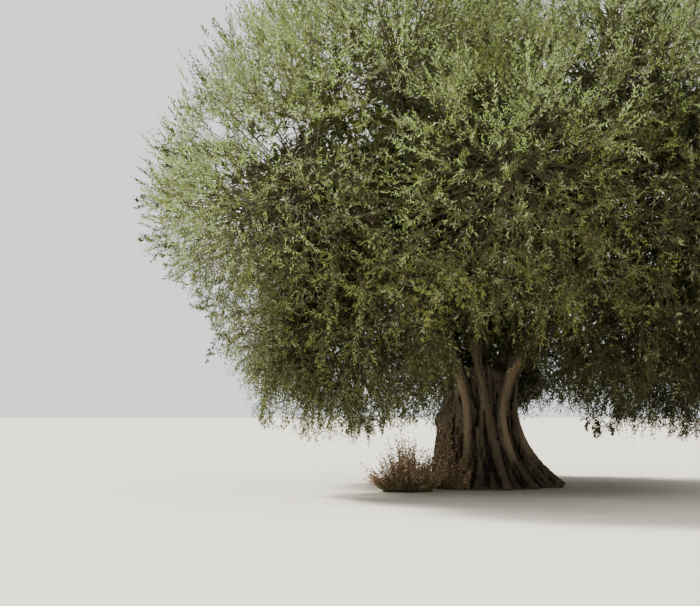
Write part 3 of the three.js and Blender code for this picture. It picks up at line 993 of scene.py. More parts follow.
def swellingLimbs(look, rng):
    limbs, plan = [], look["swelling"]
    x, z = np.array(plan["across"]), np.array(plan["up"])
    for y in np.linspace(*plan["deep"]):
        bend = np.interp(np.arange(len(x)), [0, 2, len(x) - 1], plan["bend"])
        across = x + plan["round"] * (abs(y + 0.08) / 0.2) ** 2 + rng.normal(0, plan["unrest"], len(x))
        line = evenly(np.column_stack([across, y * bend, z]), linePoints["bough"])
        padded = [np.pad(line[:, k], 3, "edge") for k in range(3)]  # rounded by the mean of seven points
        line = np.stack([np.convolve(values, np.full(7, 1 / 7), "valid") for values in padded], axis=1)
        radius = rng.uniform(*plan["radius"])
        limbs.append((line, radius * (1 + plan["swell"] * sway(rng, plan["waves"], len(line)))))
    return limbs


def peelLimbs(look, rng):
    limbs, plan = [], look["peels"]
    x, z = look["swelling"]["across"][::-1], look["swelling"]["up"][::-1]
    middle, n = plan["middle"], plan["points"]
    for _ in range(plan["count"]):
        turn, first = rng.uniform(*plan["bearing"]), rng.uniform(*plan["first"])
        height = np.linspace(first, first + rng.uniform(*plan["length"]), n)
        turn = turn + plan["sway"] * sway(rng, plan["waves"], n)
        wide = middle[0] - np.interp(height, z, x) + plan["proud"]
        deep = np.interp(height, *plan["deep"])
        line = np.column_stack([middle[0] - wide * np.cos(turn), middle[1] - deep * np.sin(turn), height])
        limbs.append((line, rng.uniform(*plan["radius"]) * spindle(n)))
    return limbs


def distanceToLine(points, line, radii):
    best = np.full(len(points), 9.0)
    for place, radius in zip(line, radii):
        best = np.minimum(best, np.linalg.norm(points - place, axis=1) / radius)
    return best


def roughen(piece, look, pale):
    mesh = piece.data
    points, normals = coordinates(mesh), normalsOf(mesh)
    relief = barkRelief
    calm = 1 - relief["smoother"] * pale
    calmFoot = np.clip(relief["foot"][0] + points[:, 2] / relief["foot"][1], 0, 1)
    furrows = 1 - np.abs(noiseField(points, *relief["furrows"])) * relief["furrowEdge"]
    cracks = 1 - np.abs(noiseField(points, *relief["cracks"])) * relief["crackEdge"]
    push = noiseField(points, *relief["lumps"]) * look["lumps"] * (0.4 + 0.6 * calm)
    push -= np.clip(furrows, 0, 1) ** 3 * look["furrows"] * calm * calmFoot
    push -= np.clip(cracks, 0, 1) ** 3 * look["furrows"] * relief["crackShare"] * (0.35 + 0.65 * calm)
    push += noiseField(points, *relief["grain"]) * look["grain"] * (0.4 + 0.6 * calm)
    setCoordinates(mesh, points + normals * push[:, None])


# how proud each point stands over its smoothed surface, which the bark's material turns into painted shade in the
# hollows; the foot is darkened besides, as soil
def bakeRidges(mesh, rounds, depth):
    points, normals = coordinates(mesh), normalsOf(mesh)
    proud = np.einsum("pk,pk->p", points - smoothed(points, edgesOf(mesh), rounds), normals)
    soilHeight, soilDark = barkRelief["soil"]
    soiled = np.clip(1 - points[:, 2] / soilHeight, 0, 1)
    addAttribute(mesh, "ridge", 0.5 + proud / depth - soilDark * soiled)


def cutAtGround(piece):  # sawn flat: nothing stands below the ground
    shape = bmesh.new()
    shape.from_mesh(piece.data)
    cut = bmesh.ops.bisect_plane(shape, geom=shape.verts[:] + shape.edges[:] + shape.faces[:], dist=1e-5,
                                 plane_co=(0, 0, 0), plane_no=(0, 0, 1), clear_inner=True)
    rim = [e for e in cut["geom_cut"] if isinstance(e, bmesh.types.BMEdge)]
    bmesh.ops.contextual_create(shape, geom=rim)
    bmesh.ops.triangulate(shape, faces=shape.faces[:])
    shape.to_mesh(piece.data)
    shape.free()


def thinOut(piece, triangles):
    now = len(piece.data.polygons)
    if now <= triangles:
        return
    thin = piece.modifiers.new("thin", "DECIMATE")
    thin.ratio = triangles / now
    applyModifiers(piece)


freshLook = {"from": 1.2, "over": 0.4, "share": 0.8}  # height where the fresh tan bark starts


def finishBark(piece, material, pale, ridge):
    height = coordinates(piece.data)[:, 2]
    fresh = rise(height, freshLook["from"], freshLook["over"]) * freshLook["share"]
    addAttribute(piece.data, "pale", pale)
    addAttribute(piece.data, "fresh", fresh)
    bakeRidges(piece.data, *ridge)
    piece.data.materials.clear()
    piece.data.materials.append(material)
    piece.data.polygons.foreach_set("use_smooth", np.full(len(piece.data.polygons), True))
    piece.data.name = piece.name


def paleOn(points, look):  # where the living ribs' smooth tan bark shows, partly painted light where a rib catches the light
    pale = np.zeros(len(points))
    height = rise(points[:, 2], *look["paleFrom"])
    for name in ribPlans:
        near = fall(distanceToLine(points, *crestOf(name, look)), *look["paleEdge"])
        pale = np.maximum(pale, ribLooks[name]["pale"] * near * height)
    return np.clip(pale, 0, 1)


def makeTrunk(look):
    rng = np.random.default_rng(look["seed"])
    limbs = boleLimbs(look, rng) + ribLimbs(look, rng) + buttressLimbs(look, rng)
    limbs += shredLimbs(look, rng) + gnarlLimbs(look, rng) + swellingLimbs(look, rng) + peelLimbs(look, rng)
    for bough in boughs:
        if not bough["forked"]:
            limbs.append((bough["line"][:look["boughPoints"]], boughRadii(bough)[:look["boughPoints"]]))
    piece = limbMesh("trunk_bark", limbs, 4, look["voxel"])
    points = smoothed(coordinates(piece.data), edgesOf(piece.data), 1)
    setCoordinates(piece.data, points)
    roughen(piece, look, paleOn(points, look))
    cutAtGround(piece)
    thinOut(piece, look["triangles"])
    points = coordinates(piece.data)
    points[:, 2] = np.maximum(points[:, 2], 0)  # thinning moves the foot's rim a little
    setCoordinates(piece.data, points)
    pale = paleOn(points, look) * (0.8 + 0.5 * noiseField(points, *look["paleNoise"]))
    finishBark(piece, oldBark, pale, look["ridge"])
    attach(piece, "root")
    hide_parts("trunk")
    return piece


trunk = makeTrunk(trunkLook)
report(f"trunk: {len(trunk.data.polygons)} triangles")

boughLook = {
    "voxel": 0.016,
    "triangles": 120000,
    "firstPoint": 13,  # of a bough on an arm: the ones before it are in the trunk's skin
    "girth": 0.985,
    "stemEnd": 0.022,
    "lumps": 0.012,
    "furrows": 0.009,
    "grain": 0.003,
    "paleNoise": ((4, 4, 2), 3.0),
    # rounds of smoothing and how proud a full ridge stands, for the painted shade in the hollows
    "ridge": (12, 0.03),
}


def makeBoughPiece(look):
    limbs = []
    for bough in boughs:
        first = 0 if bough["forked"] else look["firstPoint"]
        limbs.append((bough["line"][first:], boughRadii(bough)[first:] * look["girth"]))
        limbs.append((bough["stem"], np.linspace(crownPlan["boughEnd"], look["stemEnd"], len(bough["stem"]))))
    piece = limbMesh("bough_bark", limbs, 3, look["voxel"])
    roughen(piece, look, np.zeros(len(piece.data.vertices)))
    cutAtGround(piece)
    thinOut(piece, look["triangles"])
    pale = 0.35 + 0.5 * noiseField(coordinates(piece.data), *look["paleNoise"])
    finishBark(piece, boughBark, pale, look["ridge"])
    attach(piece, "root")
    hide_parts(*[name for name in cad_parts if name.startswith("bough")])
    return piece


boughPiece = makeBoughPiece(boughLook)
report(f"boughs: {len(boughPiece.data.polygons)} triangles")


# shoots: the source's nine in each mass, carried to finer ones by the same rule

shootPlan = {
    "sourceCount": 9,
    "sourceRoom": 0.4,  # share of the room past the source's shoots that is kept
    "fineCount": 86,
    "crowding": 1.35,  # above 1, more of the fine shoots point outwards
    "tipRoom": 0.06,  # from the end of a fine shoot to the edge of its space
    "from": (0.15, 0.75),  # where on the stem a shoot stands: at least, and by chance
    "length": (0.84, 0.04, 0.17),  # share of the reach: at least, by vigour, and by the fan it grows in
    "fans": (0.5, 1.7, 1.15),  # level, strength and fineness of the noise that sets the fans
    "grow": {"shoulder": 1.10, "side": 1.03},
    "shortest": 0.12,
    "bend": 0.4,
    "widest": ((-4.76, -4.80), (4.76, 4.46)),
    "valley": (0.95, 0.12),  # how far out the crown is filled between two masses, and over what
    "valleyFill": 0.13,  # how far past its space a shoot may go there
    "rootRadius": 0.012,
    "tipRadius": 0.004,
    "steps": 4,
    "seed": 19,
}
sidePlan = {  # shoots off the sides of the main ones
    "count": 4,
    "seen": 0.3,  # on the ones that are this far in view
    "from": (0.30, 0.85),
    "open": (28, 55),  # degrees off the shoot
    "length": (0.45, 0.85),
    "longer": 0.15,
    "lift": 0.35,
    "sag": 0.55,
    "arch": (0.06, 1.6),  # upwards where shoots rise, and the share of it down where they hang
    "radius": (0.006, 0.0025),
}
hangerPlan = {  # limp shoots under the crown, and more of them before and behind the fork of the trunk
    "count": 260,
    "below": 3.0,
    "out": 0.45,
    "climb": 0.5,  # at most, of the shoots that carry them
    "shortest": 0.2,
    "uneven": 0.3,
    "veils": (  # how low, how wide and how deep the tips are that carry them
        {"count": 250, "below": 3.1, "wide": 1.7, "deep": (-4.0, -1.0)},
        {"count": 130, "below": 3.1, "wide": 1.5, "deep": (0.7, 4.0)},
    ),
    "from": (0.6, 1.0),
    "drift": (0.10, 0.05),  # by chance, and outwards
    "drop": (0.25, 0.62),
    "floor": ((-4.0, -1.2, -0.68, -0.50, 0.34, 0.50, 1.6, 2.1, 4.0),  # how low they hang, by place across
              (0.72, 0.75, 1.12, 1.80, 1.80, 1.14, 1.20, 0.72, 0.70)),
    "backFloor": (0.4, 1.3),  # the same behind the trunk: from how far back, and at most
}
hollowPlans = (  # layers of the crown that are looked over for hollows: how many places, and how far out
    {"count": 2600, "norm": (0.82, 0.94), "above": 2.0, "depth": 1.35, "room": 0.17, "longest": 1.0},
    {"count": 420, "norm": (0.18, 0.52), "above": 2.0, "depth": 1.35, "room": 0.15, "longest": 1.3},
)
curtainPlans = (  # limp shoots behind the fork, and beside the trunk: boxes as low and high corners
    {"count": 90, "low": (-0.50, 0.25, 1.62), "high": (0.50, 1.10, 2.50)},
    {"count": 34, "low": (0.40, -0.30, 1.16), "high": (0.64, 0.90, 1.75)},
    {"count": 34, "low": (-1.05, -0.60, 1.14), "high": (-0.70, 0.60, 1.75)},
)
skyGapPlan = (  # place across and up in the trunk's plane as the camera sees it, and half the size each way
    ((-3.73, 4.73), (0.28, 0.11)),
    ((-3.47, 4.16), (0.14, 0.11)),
    ((-2.94, 4.55), (0.30, 0.14)),
    ((-2.60, 4.78), (0.30, 0.11)),
    ((-1.97, 4.67), (0.11, 0.16)),
    ((-1.91, 5.32), (0.13, 0.22)),
    ((-1.47, 5.09), (0.18, 0.13)),
    ((-0.41, 5.16), (0.12, 0.09)),
    ((0.23, 4.79), (0.12, 0.09)),
    ((0.90, 5.50), (0.12, 0.20)),
    ((1.74, 3.03), (0.10, 0.10)),
    ((2.67, 3.90), (0.10, 0.14)),
)
crownMiddle = np.array([0.0, -0.1, 3.7])
crownSize = np.array([4.7, 4.6, 3.2])
crownLimits = {"norm": 0.93, "wide": 4.79, "deep": 4.67, "middle": -0.17, "high": 7.05}
risingFrom, hangingFrom = (2.6, 2.4), (3.1, 1.7)  # heights where shoots begin to rise or hang, and over what


def crownNorm(points):  # how far out in the whole crown
    return np.linalg.norm((points - crownMiddle) / crownSize, axis=1)


def visibleShare(points, depth):  # 0 deep inside the crown, 1 at its outside
    return rise(crownNorm(points), 0.5, 0.3) * rise(depth, 0.3, 0.4)


def sagAt(points):  # 1 where low shoots hang
    return fall(points[:, 2], *hangingFrom)


def liftAt(points):  # 1 where high shoots rise
    return rise(points[:, 2], *risingFrom)


def spreadDirections(mass, count, turn, crowding):
    i = np.arange(count)
    along = 1 - 2 * (i / count) ** crowding
    flat = np.sqrt(1 - along**2)
    angle = i * crownPlan["goldenAngle"] + turn
    third = np.cross(mass["arrival"], mass["across"])
    return (along[:, None] * mass["arrival"] + (flat * np.cos(angle))[:, None] * mass["across"]
            + (flat * np.sin(angle))[:, None] * third)


def skyGaps(points):  # 1 on the lines of sight where the photo shows sky through the crown
    distance, eye = cameraView["distance"], cameraView["eyeHeight"]
    nearer = distance / (distance + points[:, 1])
    seen = np.column_stack([points[:, 0] * nearer, eye + (points[:, 2] - eye) * nearer])
    ragged = 0.5 * noiseField(points * (1, 0.2, 1), 5.0, 21.0)
    gap = np.zeros(len(points))
    for middle, half in skyGapPlan:
        gap = np.maximum(gap, fall(np.linalg.norm((seen - middle) / half, axis=1) + ragged, 1.3, 0.3))
    return gap


def clearOfGaps(group):  # leaves out the shoots that would cross a gap
    crossing = np.max([skyGaps(curvePoint(*group, t)) for t in np.linspace(0.2, 1, 9)], axis=0)
    return tuple(part[crossing < 0.6] for part in group)


def growShoots(plan):
    shoots = []
    level, strength, fineness = plan["fans"]
    least, byVigour, byFan = plan["length"]
    for m, (mass, bough) in enumerate(zip(masses, boughs)):
        draw = generator(crownPlan["seed"] + 101 * (m + 1))
        for count, room, crowding in ((plan["sourceCount"], crownPlan["leafRoom"] * plan["sourceRoom"], 1),
                                      (plan["fineCount"], plan["tipRoom"], plan["crowding"])):
            directions = spreadDirections(mass, count, 2 * math.pi * next(draw), crowding)
            reaches = reachOf(m, directions)
            ends = mass["middle"] + directions * reaches[:, None]
            edge = depths(ends)[m] > 0.96  # at the mass's own surface, not at its neighbour's
            reaches = reaches * (1 + plan["valleyFill"] * (fall(crownNorm(ends), *plan["valley"]) * edge))
            for direction, reach in zip(directions, reaches):
                rootShare = plan["from"][0] + plan["from"][1] * next(draw)
                vigour = next(draw)
                tip = mass["middle"] + direction * reach
                fan = min(max(level + strength * noise.noise(Vector(tip) * fineness), 0), 1)
                share = least + byVigour * vigour + byFan * fan
                reach = reach * plan["grow"].get(mass["plan"]["name"], 1) * share
                tip = mass["middle"] + direction * max(plan["shortest"], reach - room)
                tip[:2] = np.clip(tip[:2], *plan["widest"])
                start = placeAt(bough["stem"], rootShare)
                way = unit(direction + up * mass["plan"]["lean"])
                shoots.append((start, tip - way * plan["bend"] * np.linalg.norm(tip - start), tip))
    return tuple(np.array(part) for part in zip(*shoots))


def curvePoint(start, bend, tip, t):
    return start * (1 - t) ** 2 + 2 * bend * (1 - t) * t + tip * t**2


def curveWay(start, bend, tip, t):
    return unit(2 * (bend - start) * (1 - t) + 2 * (tip - bend) * t)


def fitLength(root, way, length, limit):  # shortens what would leave the crown
    marks = np.linspace(0.15, 1, 8)
    points = (root[:, None, :] + way[:, None, :] * (length[:, None] * marks)[..., None]).reshape(-1, 3)
    inside = depths(points).min(axis=0) <= np.repeat(limit, len(marks))
    inside |= crownNorm(points) < crownLimits["norm"]
    inside &= (np.abs(points[:, 1] - crownLimits["middle"]) < crownLimits["deep"])
    inside &= (np.abs(points[:, 0]) < crownLimits["wide"]) & (points[:, 2] < crownLimits["high"])
    keep = np.argmin(np.column_stack([inside.reshape(len(root), -1), np.zeros(len(root), bool)]), axis=1)
    return length * np.concatenate([[0.12], marks])[keep]


def branchOff(way, turn, opening):  # a direction that leaves a shoot at an angle
    first, second = sideways(way)
    return around(way, around(first, second, turn), opening)


def growSideShoots(plan, start, bend, tip):
    rng = np.random.default_rng(shootPlan["seed"])
    seen = visibleShare(tip, depths(tip).min(axis=0)) > plan["seen"]
    owner = np.repeat(np.flatnonzero(seen), plan["count"])
    n = len(owner)
    t = rng.uniform(*plan["from"], n)[:, None]
    root = curvePoint(start[owner], bend[owner], tip[owner], t)
    way = curveWay(start[owner], bend[owner], tip[owner], t)
    turn = np.arange(n) * crownPlan["goldenAngle"]
    side = branchOff(way, turn, np.radians(rng.uniform(*plan["open"], n)))
    side = unit(side + up * (plan["lift"] * liftAt(root) - plan["sag"] * sagAt(root))[:, None])
    length = np.linalg.norm(tip[owner] - root, axis=1) * rng.uniform(*plan["length"], n) + plan["longer"]
    length = fitLength(root, side, length, np.ones(n))
    end = root + side * length[:, None]
    arch, down = plan["arch"]
    arched = arch * length * (liftAt(root) - down * sagAt(root))
    return root, root * 0.55 + end * 0.45 - up * arched[:, None], end


def growHangers(plan, start, bend, tip):
    rng = np.random.default_rng(shootPlan["seed"] + 1)
    across, deep, height = tip.T
    there = (height < plan["below"]) & (crownNorm(tip) > plan["out"]) & (height < start[:, 2] + plan["climb"])
    carriers = [(plan["count"], there)]
    for veil in plan["veils"]:
        there = (height < veil["below"]) & (np.abs(across) < veil["wide"])
        carriers.append((veil["count"], there & (deep > veil["deep"][0]) & (deep < veil["deep"][1])))
    owners = []
    for count, mask in carriers:
        places = np.flatnonzero(mask)
        owners.append(places[rng.integers(len(places), size=count)])
    owner = np.concatenate(owners)
    n = len(owner)
    root = curvePoint(start[owner], bend[owner], tip[owner], rng.uniform(*plan["from"], n)[:, None])
    chance, outwards = plan["drift"]
    flat = rng.normal(0, chance, (n, 3)) + (root - crownMiddle) * (outwards, outwards, 0)
    drop = rng.uniform(*plan["drop"], n)
    end = root + flat
    floor = np.interp(end[:, 0], *plan["floor"])  # the trunk stays in view
    back, highest = plan["backFloor"]
    floor = np.where((root[:, 1] > back) & (floor > highest), highest, floor)
    lowest = np.minimum(floor, root[:, 2] - plan["shortest"]) + rng.uniform(0, plan["uneven"], n)
    end[:, 2] = np.maximum(root[:, 2] - drop, lowest)
    middle = root + flat * 0.9
    middle[:, 2] = root[:, 2] * 0.65 + end[:, 2] * 0.35
    return root, middle, end


def woodTree(start, bend, tip):
    wood = np.concatenate([curvePoint(start, bend, tip, t) for t in np.linspace(0.4, 1, 4)])
    tree = kdtree.KDTree(len(wood))
    for k, place in enumerate(wood):
        tree.insert(place, k)
    tree.balance()
    return tree


def growCurtains(plans, start, bend, tip):
    rng = np.random.default_rng(shootPlan["seed"] + 2)
    end = np.concatenate([rng.uniform(box["low"], box["high"], (box["count"], 3)) for box in plans])
    tree = woodTree(start, bend, tip)
    root = np.array([tree.find(place + up * 0.45)[0][:] for place in end])
    middle = root * 0.4 + end * 0.6
    middle[:, 2] = root[:, 2] * 0.7 + end[:, 2] * 0.3
    return root, middle, end


def fillHollows(layer, start, bend, tip):  # where a layer of the crown has a hollow, a shoot turns into it
    rng = np.random.default_rng(shootPlan["seed"] + layer["count"])
    i = np.arange(layer["count"]) + 0.5
    height = 1 - 2 * i / len(i)
    angle = i * crownPlan["goldenAngle"]
    flat = np.column_stack([np.cos(angle), np.sin(angle)]) * np.sqrt(1 - height**2)[:, None]
    face = np.column_stack([flat, height]) * crownSize * rng.uniform(*layer["norm"], len(i))[:, None] + crownMiddle
    face = face[(face[:, 2] > layer["above"]) & (depths(face).min(axis=0) < layer["depth"])]
    tree = woodTree(start, bend, tip)
    found = [(tree.find(place), place) for place in face]
    found = [(near[0][:], place) for near, place in found if layer["room"] < near[2] < layer["longest"]]
    root, end = (np.array(part) for part in zip(*found))
    arched = 0.08 * np.linalg.norm(end - root, axis=1) * liftAt(root)
    print(f"  {len(end)} shoots in hollows")
    return root, root * 0.5 + end * 0.5 - up * arched[:, None], end


def together(*groups):
    return tuple(np.concatenate(part) for part in zip(*groups))


mainShoots = growShoots(shootPlan)
shootGroups = [mainShoots, clearOfGaps(growSideShoots(sidePlan, *mainShoots)), growHangers(hangerPlan, *mainShoots)]
for layer in hollowPlans:
    shootGroups.append(clearOfGaps(fillHollows(layer, *together(*shootGroups))))
shootGroups.append(growCurtains(curtainPlans, *together(*shootGroups)))
sideShoots = together(*shootGroups[1:])
shootStart, shootBend, shootTip = together(mainShoots, sideShoots)
kinds = ["main", "side", "hanging", "rim hollow", "inner hollow", "curtain"]
shootKind = np.repeat(kinds, [len(group[2]) for group in shootGroups])
shootVisible = visibleShare(shootTip, depths(shootTip).min(axis=0))
shootVisible[(shootKind == "hanging") | (shootKind == "curtain")] = 1
report(f"shoots: {len(mainShoots[2])} and {len(sideShoots[2])} off their sides")


# sprays: short twigs along the outer part of each shoot, with leaves in opposite pairs

sprayPlan = {
    "counts": {"main": 8, "side": 6, "hanging": 6, "rim hollow": 6, "inner hollow": 5, "curtain": 7},
    "innerCount": 5,
    "outerShoot": 0.3,  # a shoot less in view than this has the inner count
    "from": 0.26,  # share of the shoot where the first spray stands
    "outward": 0.75,  # below 1, they stand closer towards its end
    "visible": 0.58,  # sprays less in view than this are fewer
    "keep": (0.34, 0.25),  # share of them that stays, and more where they hang
    "length": 0.215,
    "innerLength": 0.36,
    "rimLength": 0.34,  # leading sprays at the crown's edge
    "uneven": (0.65, 1.35),
    "past": 0.05,  # how far past its space a spray may stand
    "spike": 0.13,  # and a leading one more, high up
    "curtain": (0.3, 0.59),  # from how far back its sprays are only this far in view
    "rim": (0.9, 0.15),  # how far in view, and how far up, the leading sprays stand
    "lift": (0.05, 0.25, 0.25, 0.4),  # everywhere, high up, more of it at the edge, and down where they hang
    "open": (62, 24),  # degrees off the shoot, at its root and at its tip
    "openNoise": 14,
    "lastOpen": 0.08,  # radians
    "unrest": (0.34, 0.10),  # and at the edge
    "rootRadius": 0.0034,
    "seed": 20,
}
leafPlan = {
    "pairs": 5,
    "rimPairs": 7,
    "innerPairs": 3,
    "rimLeaf": 0.066,
    "lengths": ((0.15, 0.50, 0.75), (0.190, 0.110, 0.052)),  # by how far the spray is in view
    "width": 0.29,  # share of the length
    "open": (54, 28),  # degrees off the spray, at its root and at its tip
    "rimOpen": (40, 18),
    "ground": 0.002,  # no leaf or twig stands lower
    "seed": 21,
}
leafUnrest = {"place": 0.012, "turn": 0.35, "open": 13, "way": 0.2, "face": 0.7}
leafSizes = {"length": (0.72, 1.25), "tipSmaller": 0.25, "half": (0.42, 0.58), "arch": (0.03, 0.08)}


def growSprays(plan):
    rng = np.random.default_rng(plan["seed"])
    outerShoot = shootVisible > plan["outerShoot"]
    counts = np.array([plan["counts"][kind] for kind in shootKind])
    counts[~outerShoot] = plan["innerCount"]
    owner = np.repeat(np.arange(len(counts)), counts)
    order = np.concatenate([np.arange(c) for c in counts])
    total = np.repeat(counts, counts)
    last = order == total - 1
    share = (order + rng.uniform(0.1, 1.0, len(owner))) / total
    t = plan["from"] + (1 - plan["from"]) * share ** plan["outward"]
    t = np.where(last, 0.995, np.minimum(t, 0.995))
    root = curvePoint(shootStart[owner], shootBend[owner], shootTip[owner], t[:, None])
    way = curveWay(shootStart[owner], shootBend[owner], shootTip[owner], t[:, None])
    turn = order * crownPlan["goldenAngle"] + rng.uniform(0, 2 * math.pi, len(counts))[owner]
    opening = np.radians(np.interp(t, [plan["from"], 1], plan["open"]) + rng.normal(0, plan["openNoise"], len(t)))
    spray = branchOff(way, turn, np.where(last, plan["lastOpen"], opening))
    visible = np.where(shootKind[owner] == "hanging", 1, visibleShare(root, depths(root).min(axis=0)))
    back, behind = plan["curtain"]
    visible = np.where(shootKind[owner] == "curtain", np.where(root[:, 1] > back, behind, 1), visible)
    outer = outerShoot[owner] & (visible > plan["visible"])
    high, low = liftAt(root), sagAt(root)
    rim = outer & last & (visible > plan["rim"][0]) & (high > plan["rim"][1])
    least, byHeight, atRim, down = plan["lift"]
    lift = least + (byHeight + atRim * rim) * high - down * low**1.5
    unrest, rimUnrest = plan["unrest"]
    unrest = rng.normal(0, 1, spray.shape) * np.where(rim, rimUnrest, unrest)[:, None]
    spray = unit(spray + up * lift[:, None] + unrest)
    length = np.where(rim, plan["rimLength"], np.where(outer, plan["length"], plan["innerLength"]))
    limit = 1.0 + plan["past"] * rng.uniform(0, 1, len(t)) + plan["spike"] * rim * high
    length = fitLength(root, spray, length * rng.uniform(*plan["uneven"], len(t)), limit)
    sprays = {"root": root, "way": spray, "length": length, "outer": outer, "rim": rim,
              "leading": rim & (shootKind[owner] == "main"), "visible": visible,
              "leaf": np.where(rim, leafPlan["rimLeaf"], np.interp(visible, *leafPlan["lengths"]))}
    keep, keepLow = plan["keep"]
    share = np.where(outer | ~outerShoot[owner], 1, keep + keepLow * low)
    middle = root + spray * length[:, None] * 0.6
    return pick(sprays, rng.uniform(0, 1, len(t)) < share * (1 - skyGaps(middle)))


def pick(sprays, chosen):
    return {key: value[chosen] for key, value in sprays.items()}


plainLeaf = {  # along, across and lift of each corner, as shares of the length, half width and arch
    "corners": [(0, 0, 0), (0.42, 1, 1), (0.42, -1, 1), (1, 0, 0)],
    "faces": [(0, 1, 3), (0, 3, 2)],
}
archedLeaf = {
    "corners": [(0, 0, 0), (0.30, 0.92, 0.9), (0.30, -0.92, 0.9),
                (0.68, 0.84, 1.0), (0.68, -0.84, 1.0), (1, 0, -0.6)],
    "faces": [(0, 1, 2), (2, 1, 3), (2, 3, 4), (4, 3, 5)],
}


# opposite pairs along each spray, each turned by a right angle, and one leaf at its tip
def growLeaves(sprays, shape, pairs, width, opens, seed):
    rng = np.random.default_rng(seed)
    n, count = len(sprays["length"]), pairs * 2 + 1
    step = np.append(np.repeat(np.arange(pairs), 2), pairs)
    unrest = rng.normal(0, leafUnrest["place"], (n, count - 1))
    t = np.append(0.08 + 0.88 * step[:-1] / pairs, 1.0) + np.append(unrest, np.zeros((n, 1)), axis=1)
    side = np.append(np.tile([0, math.pi], pairs), 0)
    root = sprays["root"][:, None, :] + sprays["way"][:, None, :] * (sprays["length"][:, None] * t)[..., None]
    axis = np.broadcast_to(sprays["way"][:, None, :], root.shape)
    turn = rng.uniform(0, 2 * math.pi, n)[:, None] + step * math.pi / 2 + side
    turn = turn + rng.normal(0, leafUnrest["turn"], (n, count))
    opening = np.radians(np.interp(t, [0, 1], opens) + rng.normal(0, leafUnrest["open"], (n, count)))
    opening[:, -1] *= 0.15
    way = around(axis, around(*sideways(axis), turn), opening)
    way = unit(way + rng.normal(0, leafUnrest["way"], root.shape))
    face = up * 0.7 + axis * 0.3 + rng.normal(0, leafUnrest["face"], root.shape)
    face = unit(face - way * np.einsum("nck,nck->nc", face, way)[..., None])
    size = sprays["leaf"][:, None] * rng.uniform(*leafSizes["length"], (n, count))
    size = size * (1 - leafSizes["tipSmaller"] * np.clip(t, 0, 1) ** 3)
    half = size * width * rng.uniform(*leafSizes["half"], (n, count))
    arch = size * rng.uniform(*leafSizes["arch"], (n, count))
    points = root[:, :, None, :]
    directions, lengths = (way, np.cross(way, face), face), (size, half, arch)
    for direction, length, shares in zip(directions, lengths, zip(*shape["corners"])):
        points = points + direction[:, :, None, :] * (length[..., None] * np.array(shares))[..., None]
    faces = np.array(shape["faces"])[None] + (np.arange(n * count) * len(shape["corners"]))[:, None, None]
    return points.reshape(-1, 3), faces.reshape(-1, 3)


def joinParts(parts):
    points, faces, used = [], [], 0
    for p, f in parts:
        points.append(p)
        faces.append(f + used)
        used += len(p)
    points = np.concatenate(points)
    points[:, 2] = np.maximum(points[:, 2], leafPlan["ground"])
    return points, np.concatenate(faces)


def leafPiece(name, parts, material, nodes):
    piece = meshFromArrays(name, *joinParts(parts), material, smooth=False)
    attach(piece, "root")
    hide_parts(*nodes)
    print(f"  {name}: {len(piece.data.polygons)} triangles")
    return len(piece.data.polygons)


massNames = [mass["name"] for mass in masses]
sprays = growSprays(sprayPlan)
report(f"sprays: {len(sprays['length'])}")


# the leaves' tones are painted light and shade, dealt by spray: lighter on the crown's sunny side and outside, darker
# inside it and at its edge, with chance and patches mixed in
tonePlan = {
    "sunnySide": (-0.40, -0.12, 0.91),
    "weights": {"sun": 0.825, "out": 0.35, "patch": 0.30, "chance": 0.31},
    "patches": (0.8, 5.0),  # fineness, and where the noise starts
    "rim": (-1.2, 0.1),  # the edge is mixed: painted shade pushes its sprays darker at random
    # painted shade: the sprays inside the crown take the darkest tones
    "inner": 0.7,
    "shares": (0.25, 0.49, 0.73),  # ranks where the painted shade, green and olive tones end and the lightest, painted sunlit one begins
    "grey": (0.17, 0.6, 0.8),  # share of the sprays, and how it grows with the rank
    "yellow": {"from": 0.21, "patches": (1.1, 17.0), "chance": 0.25, "rank": 0.45},
    "seed": 33,
}


def dealTones(sprays, plan):
    rng = np.random.default_rng(plan["seed"])
    root, outer, n = sprays["root"], sprays["outer"], len(sprays["length"])
    weights, yellowPlan = plan["weights"], plan["yellow"]
    # painted light: the score grows towards the crown's sunny side and outwards
    sun = unit((root - crownMiddle) / crownSize) @ unit(np.array(plan["sunnySide"]))
    score = weights["sun"] * sun + weights["out"] * sprays["visible"] + weights["chance"] * rng.uniform(0, 1, n)
    score += weights["patch"] * noiseField(root, *plan["patches"])
    score += np.where(sprays["rim"], rng.uniform(*plan["rim"], n), 0)
    score = np.where(outer, score, score - plan["inner"])
    rank = np.argsort(np.argsort(score)) / n
    names = np.array(["leaves_shade", "leaves_green", "leaves_olive", "leaves_sunlit"])
    tones = names[np.searchsorted(plan["shares"], rank, side="right")].astype(object)
    share, least, byRank = plan["grey"]
    grey = rng.uniform(0, 1, n) < share * (least + byRank * rank)
    patches = noiseField(root, *yellowPlan["patches"]) + rng.normal(0, yellowPlan["chance"], n)
    yellow = (patches > yellowPlan["from"]) & (rank > yellowPlan["rank"]) & ~grey
    tones[grey & outer] = "leaves_grey"
    tones[yellow & outer] = "leaves_yellow"
    return tones


